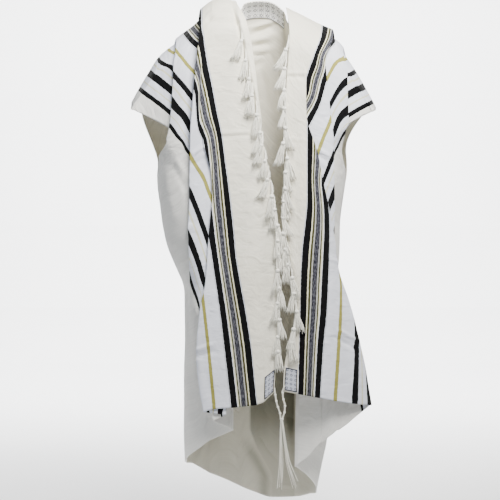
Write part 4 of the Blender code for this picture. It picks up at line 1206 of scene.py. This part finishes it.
# Charcoal cotton yarn, twisted and couched round each patch.
outline, tree, shader = start_material("twisted_charcoal_yarn", 0.8, 0.2)
shader.inputs["Base Color"].default_value = linear("101014")
patches = {}
for side in ("left", "right"):
    for part in ("front", "rear"):
        grid = patch_grid(side, falls[side]["grid"], part == "rear")
        wide = travelled(grid.transpose(1, 0, 2)).T
        tall = travelled(grid)
        piece = add_cloth(
            "stiff_patch_" + part + "_" + side, grid, wide - wide[:, 13:14], tall - tall[17:18],
            patch_cloth, 0.0008
        )
        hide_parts("corner_patch_" + part + "_" + side)
        rim = np.concatenate(
            [grid[1, 1:-1], grid[1:-1, -2], grid[-2, -2:0:-1], grid[-2:0:-1, 1], grid[1, 1:2]]
        )
        points, faces, uv = tubes(seen(rim)[None], 0.0014)
        cord = add_piece("patch_outline_" + part + "_" + side, points, faces, uv, outline)
        patches[part + side] = (piece, grid)

# Fringe
# The warp ends left long at both ends of the cloth: a dozen or so are gathered, knotted once
# below the edge, and hang on as a loose skirt.

# A tassel's place along each edge: down on the view, lean to the side at its end, inward shift.
TASSELS = {
    "left": np.array([
        (34, 7, 7), (52, 4, 7), (70, 3, 6), (88, 4, 5), (106, 2, 3), (122, 5, 1), (138, 7, 0),
        (154, 4, 0), (170, 9, 0), (186, 4, 0), (201, 2, 0), (216, -3, 0), (232, 1, 0), (247, -4, 0),
        (262, 2, 0), (278, -3, 0), (294, 4, 0), (311, -3, 0), (328, 2, 0), (343, -1, 0),
    ]),
    "right": np.array([
        (40, -12, 0), (60, -9, -1), (80, -3, -1), (100, -2, 0), (118, 5, 0), (134, -8, 0),
        (148, 6, 0), (163, 4, 0), (178, 6, 0), (194, 3, 0), (209, 8, 0), (224, 4, 0), (240, 2, 0),
        (255, -4, 0), (270, 5, 0), (286, -5, 0), (302, 4, 0), (318, -4, 0), (333, 3, 0),
    ]),
}
STRANDS = 14
KNOT_AT = 0.30
TASSEL_REACH = 30.0
KNOT_RADIUS = 0.0060
rng = np.random.default_rng(11)
# Cream wool yarn, spun from several twisted threads and left undyed.
yarn, tree, shader = start_material("twisted_cream_wool_yarn", 0.88, 0.3)
yarn_uv = add_node(tree, "UVMap", uv_map="cloth").outputs["UV"]
twist_at = add_node(
    tree, "Mapping", {"Vector": yarn_uv, "Rotation": (0.0, 0.0, 0.7), "Scale": (900.0, 900.0, 1.0)}
)
twist = add_node(tree, "TexWave", {"Vector": twist_at, "Scale": 0.5, "Distortion": 1.0})
tuft = add_node(tree, "TexNoise", {"Vector": yarn_uv, "Scale": 40.0, "Detail": 2.0})
tones = {0: tuft.outputs["Fac"], 6: linear("fdfcf4"), 7: linear("f0eddd")}
figure(tree, shader, tones, twist.outputs["Fac"], 0.5, 0.0004)


def tassel_paths(side, table, rear):
    """Strand paths: from a span of the edge to one knot, then spreading to the skirt's end.

    t runs from 0 at the edge to 1 at the end. The span of roots shrinks to nothing before the
    knot, and after it each strand moves aside in its order by a root of the way that it has gone.
    """
    front = falls[side]["grid"]
    edge = front[FRONT_ROWS < 0 if rear else FRONT_ROWS >= 0][:, 0]
    edge_down = ORIGIN_DOWN - edge[:, 2] / UNIT
    if rear:
        edge, edge_down = edge[::-1], edge_down[::-1]
    start = int(np.argmin(edge_down))
    edge, edge_down = edge[start:], edge_down[start:]
    edge_out = edge[:, 0] / UNIT * SIGN[side]
    count = len(table)
    spots = table[:, 0] + rng.uniform(-1.5, 1.5, count)
    lean = table[:, 1] + rng.uniform(-1.0, 1.0, count)
    size = rng.uniform(0.9, 1.12, count)
    t = np.array([0.0, 0.08, 0.17, 0.25, 0.30, 0.35, 0.46, 0.6, 0.75, 0.88, 1.0])
    s = np.linspace(-1.0, 1.0, STRANDS)
    root = 5.6 * np.clip(1 - t / 0.27, 0.0, 1.0) ** 1.1
    skirt = 0.6 + 4.2 * np.clip((t - KNOT_AT) / 0.70, 0.0, 1.0) ** 0.75
    ring = rng.permuted(np.tile(s, (count, 1)), axis=1)[:, :, None]
    depth = rng.uniform(-1.0, 1.0, (count, STRANDS, 1))
    reach = TASSEL_REACH * size[:, None, None] * (
        1 + 0.07 * rng.uniform(-1, 1, (count, STRANDS, 1)) * (t > 0.9)
    )
    down = spots[:, None, None] + s[None, :, None] * root + reach * t
    follow = np.interp(spots[:, None, None] + s[None, :, None] * root, edge_down, edge_out)
    below = np.where(t < KNOT_AT, 0.0, 1.0)
    waves = 0.5 * np.sin(9.0 * t + 6.0 * depth) * below
    out = follow + table[:, 2][:, None, None] + (-0.6 + lean[:, None, None] * t**1.25) + (
        ring * skirt * below + waves
    )
    hold = 0.35 * ring * (1 - below)
    lift = 0.0028 + 0.0075 * np.clip(t / 0.25, 0.0, 1.0) + 0.0036 * depth * below * np.clip(
        (t - 0.3) * 2.5, 0.0, 1.0
    )
    lift = np.where(t == 0.0, 0.0009, lift)
    return place(side, out + hold, down, lift, rear=rear), size


def knots(centres, sizes):
    """Round knots of yarn: a ball of 8 by 6 faces at each centre, squashed a little."""
    theta = np.linspace(0.02, math.pi - 0.02, 7)[:, None]
    phi = (np.arange(8) * math.pi / 4)[None]
    ball = np.stack(
        [np.sin(theta) * np.cos(phi), np.sin(theta) * np.sin(phi), np.cos(theta) + 0 * phi], axis=-1
    )
    squashed = ball[None] * sizes[:, None, None, None] * np.array([1.0, 0.8, 0.85])
    points = centres[:, None, None] + squashed
    index = np.arange(points.shape[0] * 56).reshape(-1, 7, 8)
    around = np.roll(index, -1, axis=2)
    walls = np.stack(
        [index[:, :-1], index[:, 1:], around[:, 1:], around[:, :-1]], axis=-1
    ).reshape(-1, 4)
    caps = np.concatenate(
        [index[:, 0, [0, 1, 2, 3]], index[:, 0, [0, 3, 4, 7]], index[:, 0, [4, 5, 6, 7]]]
    )
    ends = np.concatenate(
        [index[:, 6, [3, 2, 1, 0]], index[:, 6, [7, 4, 3, 0]], index[:, 6, [7, 6, 5, 4]]]
    )
    uv = np.stack(
        [np.broadcast_to(phi * 0.003, (7, 8)), np.broadcast_to(theta * 0.003, (7, 8))], axis=-1
    )
    faces = np.concatenate([walls, caps, ends])
    return points.reshape(-1, 3), faces, np.tile(uv.reshape(-1, 2), (points.shape[0], 1))


REAR_TASSELS = np.array([(30, 2, 0), (48, 3, 0), (66, 1, 0), (84, 3, 0), (100, 2, 0)])
for side in ("left", "right"):
    for part in ("front", "rear"):
        table = REAR_TASSELS if part == "rear" else TASSELS[side]
        paths, size = tassel_paths(side, table, part == "rear")
        strands = seen(paths).reshape(-1, paths.shape[2], 3)
        thick = np.array(
            [0.0011, 0.0012, 0.0012, 0.0012, 0.0012, 0.0013, 0.0014, 0.0014, 0.0013, 0.0011, 0.0007]
        )
        centre = seen(paths)[:, :, 4].mean(axis=1)
        points, faces, uv = joined([tubes(strands, thick), knots(centre, KNOT_RADIUS * size)])
        piece = add_piece("knotted_fringe_" + part + "_" + side, points, faces, uv, yarn)
        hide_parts("fringe_" + part + "_" + side)

# Corner tassels
# One of cream wool cord at each corner, tied through an eyelet in its patch: cords doubled over,
# wound and knotted five times, then hanging free as eight thin strands.

# A front tassel's path on the view, across and down, and how far in front of the falls it hangs.
SPOTS = {
    "left": np.array([
        (274.5, 388), (275, 393), (276, 400), (277.5, 406), (280, 413), (281, 420), (280.6, 440),
        (281, 462), (280, 486),
    ]),
    "right": np.array([
        (284.5, 386), (282.5, 391), (283, 398), (285, 405), (284.6, 412), (282, 420), (284.5, 440),
        (288, 462), (296, 485),
    ]),
}
CORD_LIFT = {
    "left": np.array([5, 6, 9, 12, 15, 18, 19, 19, 19]) * 0.001,
    "right": np.array([5, 6, 10, 15, 20, 26, 29, 30, 30]) * 0.001,
}
REAR_LIFT = np.array([5, 10, 15, 18, 19, 19, 19, 19, 19]) * 0.001
# Along a tassel's path: where its knots are, where its winding ends and where its strands begin.
KNOTS_AT = np.array([0.16, 0.28, 0.4, 0.51, 0.61])
WOUND_TO = 0.62
FREE_FROM = 0.60
WINDING = 150.0
WOUND_COUNT = 120
for side in ("left", "right"):
    for part in ("front", "rear"):
        if part == "front":
            spots = SPOTS[side]
            lift = CORD_LIFT[side]
        else:
            low = patches["rear" + side][1][6, 10]
            x, y = low[0] / UNIT + ORIGIN_ACROSS, ORIGIN_DOWN - low[2] / UNIT
            spots = np.array([(x, y + below) for below in (0, 6, 14, 24, 36, 50, 66, 82, 98)])
            lift = REAR_LIFT
        out = outward(side, spots[:, 0])
        path = seen(place(side, out, spots[:, 1], lift, rear=part == "rear"))
        keys = np.linspace(0.0, 1.0, len(path))
        wound = np.linspace(0.0, WOUND_TO, WOUND_COUNT)
        line = np.stack([np.interp(wound, keys, path[:, k]) for k in range(3)], axis=-1)
        turn = wound * WINDING
        wave = np.stack([np.cos(turn), np.sin(turn), 0.0 * turn], axis=-1) * 0.0011
        strands = [tubes(np.stack([line + wave, line - wave]), 0.0012)]
        at = np.interp(KNOTS_AT, wound, np.arange(WOUND_COUNT)).astype(int)
        strands.append(knots(line[at], np.full(5, 0.0034)))
        free = np.linspace(FREE_FROM, 1.0, 16)
        line = np.stack([np.interp(free, keys, path[:, k]) for k in range(3)], axis=-1)
        t = (free - FREE_FROM) / 0.40
        fan = np.linspace(-1.0, 1.0, 8)[:, None]
        phase = rng.uniform(0.0, 6.0, (8, 1))
        sway = np.stack([
            (0.0008 + 0.0050 * t) * fan + 0.0018 * t * np.sin(5.0 * t + phase),
            0.004 * t * np.sin(phase * 3.0) + 0.001 * np.sin(7.0 * t + phase),
            -0.010 * t**4 * np.cos(phase * 2.0),
        ], axis=-1)
        strands.append(tubes(line[None] + sway, np.linspace(0.0009, 0.0006, 16)))
        points, faces, uv = joined(strands)
        piece = add_piece("corner_cords_" + part + "_" + side, points, faces, uv, yarn)
        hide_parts("corner_tassel_" + part + "_" + side)

# Floor and backdrop
# A pale floor with a wall far behind it, joined by one round sweep.

FLOOR = solid_box[0][2] - 0.12
sweep = np.array(
    [(-0.6, 0.0), (3.2, 0.0), (4.2, 0.08), (5.0, 0.4), (5.5, 1.0), (5.7, 2.0), (5.7, 3.4)]
)
across = np.array([-2.6, 2.6])
points = np.stack(
    np.broadcast_arrays(across[None, :], sweep[:, :1], sweep[:, 1:] + FLOOR), axis=-1
).reshape(-1, 3)
index = np.arange(len(sweep) * 2).reshape(-1, 2)
faces = np.stack([index[:-1, 0], index[:-1, 1], index[1:, 1], index[1:, 0]], axis=-1)
# White paper with a matt coat, rolled out in one sheet.
paper, tree, shader = start_material("matt_white_paper", 0.9, 0.0)
paper_at = add_node(tree, "TexCoord").outputs["Object"]
grain = add_node(tree, "TexNoise", {"Vector": paper_at, "Scale": 3.0, "Detail": 2.0})
coloured = add_node(
    tree, "Mix", {0: grain.outputs["Fac"], 6: linear("fbfbfb"), 7: linear("f6f7f8")},
    data_type="RGBA"
)
tree.links.new(coloured.outputs[2], shader.inputs["Base Color"])
mesh = bpy.data.meshes.new("backdrop")
mesh.from_pydata(points.tolist(), [], faces.tolist())
mesh.materials.append(paper)
backdrop = bpy.data.objects.new("backdrop", mesh)
bpy.context.scene.collection.objects.link(backdrop)
